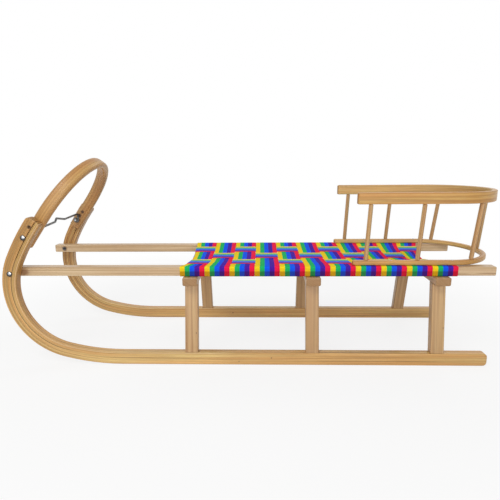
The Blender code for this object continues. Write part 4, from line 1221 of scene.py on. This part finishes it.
def buildBackScrews():
    radius, shank, depth = screw["headRadius"], screw["shankRadius"], screw["depth"]
    profile = [(0, -depth - screw["point"]), (shank, -depth), (shank, -screw["neck"]), (radius, 0),
               (radius * 0.55, screw["dome"] - 0.0001), (0, screw["dome"])]
    for sideName, side in sides.items():
        for placeName, distance in screw["places"].items():
            place = origin + Vector((-distance, side * railMiddle, hoopTop))
            slots = []
            for turn in (screw["slotTurn"], screw["slotTurn"] + math.pi / 2):
                reach = Vector((*ray(turn), 0)) * radius * screw["slotReach"]
                slotLine = Spine([place - reach, place + reach], (0, 0, 1))
                slots.append(sweep(bmesh.new(), slotLine, screw["slotHalf"], 0))
            bm = spun(bmesh.new(), profile, pointing(place, (0, 0, 1)))
            addPiece(f"{sideName}_{placeName}_back_screw", bm, "zincSteel",
                     [f"backrest_screw_{placeName}_{sideName}"], slots)


for name, bow in (("hoop", hoop), ("band", band)):
    woodPiece(f"back_{name}", f"backrest_{name}", bowSpine(bow), (bow["height"] / 2, bow["stock"] / 2),
              bow["edge"], "backWood", (bow["edge"], armRound))
buildSpindles()
buildBackScrews()
print("backrest")


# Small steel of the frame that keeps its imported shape

for sideName in sides:
    for placeName in trestles:
        paint(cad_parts[f"rail_screw_{placeName}_{sideName}"], "zincSteel")
    paint(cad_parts[f"lap_nail_{sideName}"], "nailSteel")


# Floor, backdrop and light

studio = {
    "floorSize": 12, "matte": grey(0.86), "white": grey(1.0), "sky": 0.42,
    "fade": (0.55, 1.3, 0.82, 1.0),      # the floor turns white away from the sled
    "lamps": {      # place, target, size and power
        "keyLamp": ((-0.8, -1.6, 2.3), (0, 0, 0.15), (1.4, 1.0), 24),
        "frontLamp": ((0.3, -2.6, 0.8), (0, 0, 0.15), (2.6, 1.0), 22),
        "backLamp": ((0.9, 1.4, 1.9), (0, 0, 0.2), (1.2, 1.0), 8),
    },
}


def addFloor():
    bm = bmesh.new()
    bmesh.ops.create_grid(bm, x_segments=8, y_segments=8, size=studio["floorSize"])
    floor = meshObject("studio_floor", bm)
    recipe = Finish(bpy.data.materials.new("studioFloor"))
    share = recipe.seen() * recipe.band(recipe.away(recipe.spot()), *studio["fade"])
    matte = recipe.node("ShaderNodeBsdfDiffuse", sockets={"Color": studio["matte"]})
    white = recipe.node("ShaderNodeEmission", sockets={"Color": studio["white"], "Strength": 1.0})
    recipe.end(recipe.node("ShaderNodeMixShader", sockets={0: share, 1: matte, 2: white}))
    floor.data.materials.append(recipe.material)


def addWorld():
    world = bpy.data.worlds.new("studioWorld")
    bpy.context.scene.world = world
    recipe = Finish(world)
    level = studio["sky"] + recipe.seen() * (1.0 - studio["sky"])
    sky = recipe.node("ShaderNodeBackground", sockets={"Color": studio["white"], "Strength": level})
    recipe.node("ShaderNodeOutputWorld", sockets={"Surface": sky})


def addLamp(name, place, target, size, power):
    data = bpy.data.lights.new(name, "AREA")
    data.shape = "RECTANGLE"
    data.size, data.size_y = size
    data.energy = power
    lamp = linkObject(name, data)
    aim = Vector(target) - Vector(place)
    lamp.matrix_world = Matrix.Translation(place) @ aim.to_track_quat("-Z", "Y").to_matrix().to_4x4()


addFloor()
addWorld()
for name, lamp in studio["lamps"].items():
    addLamp(name, *lamp)
bpy.context.scene.view_settings.view_transform = "Standard"
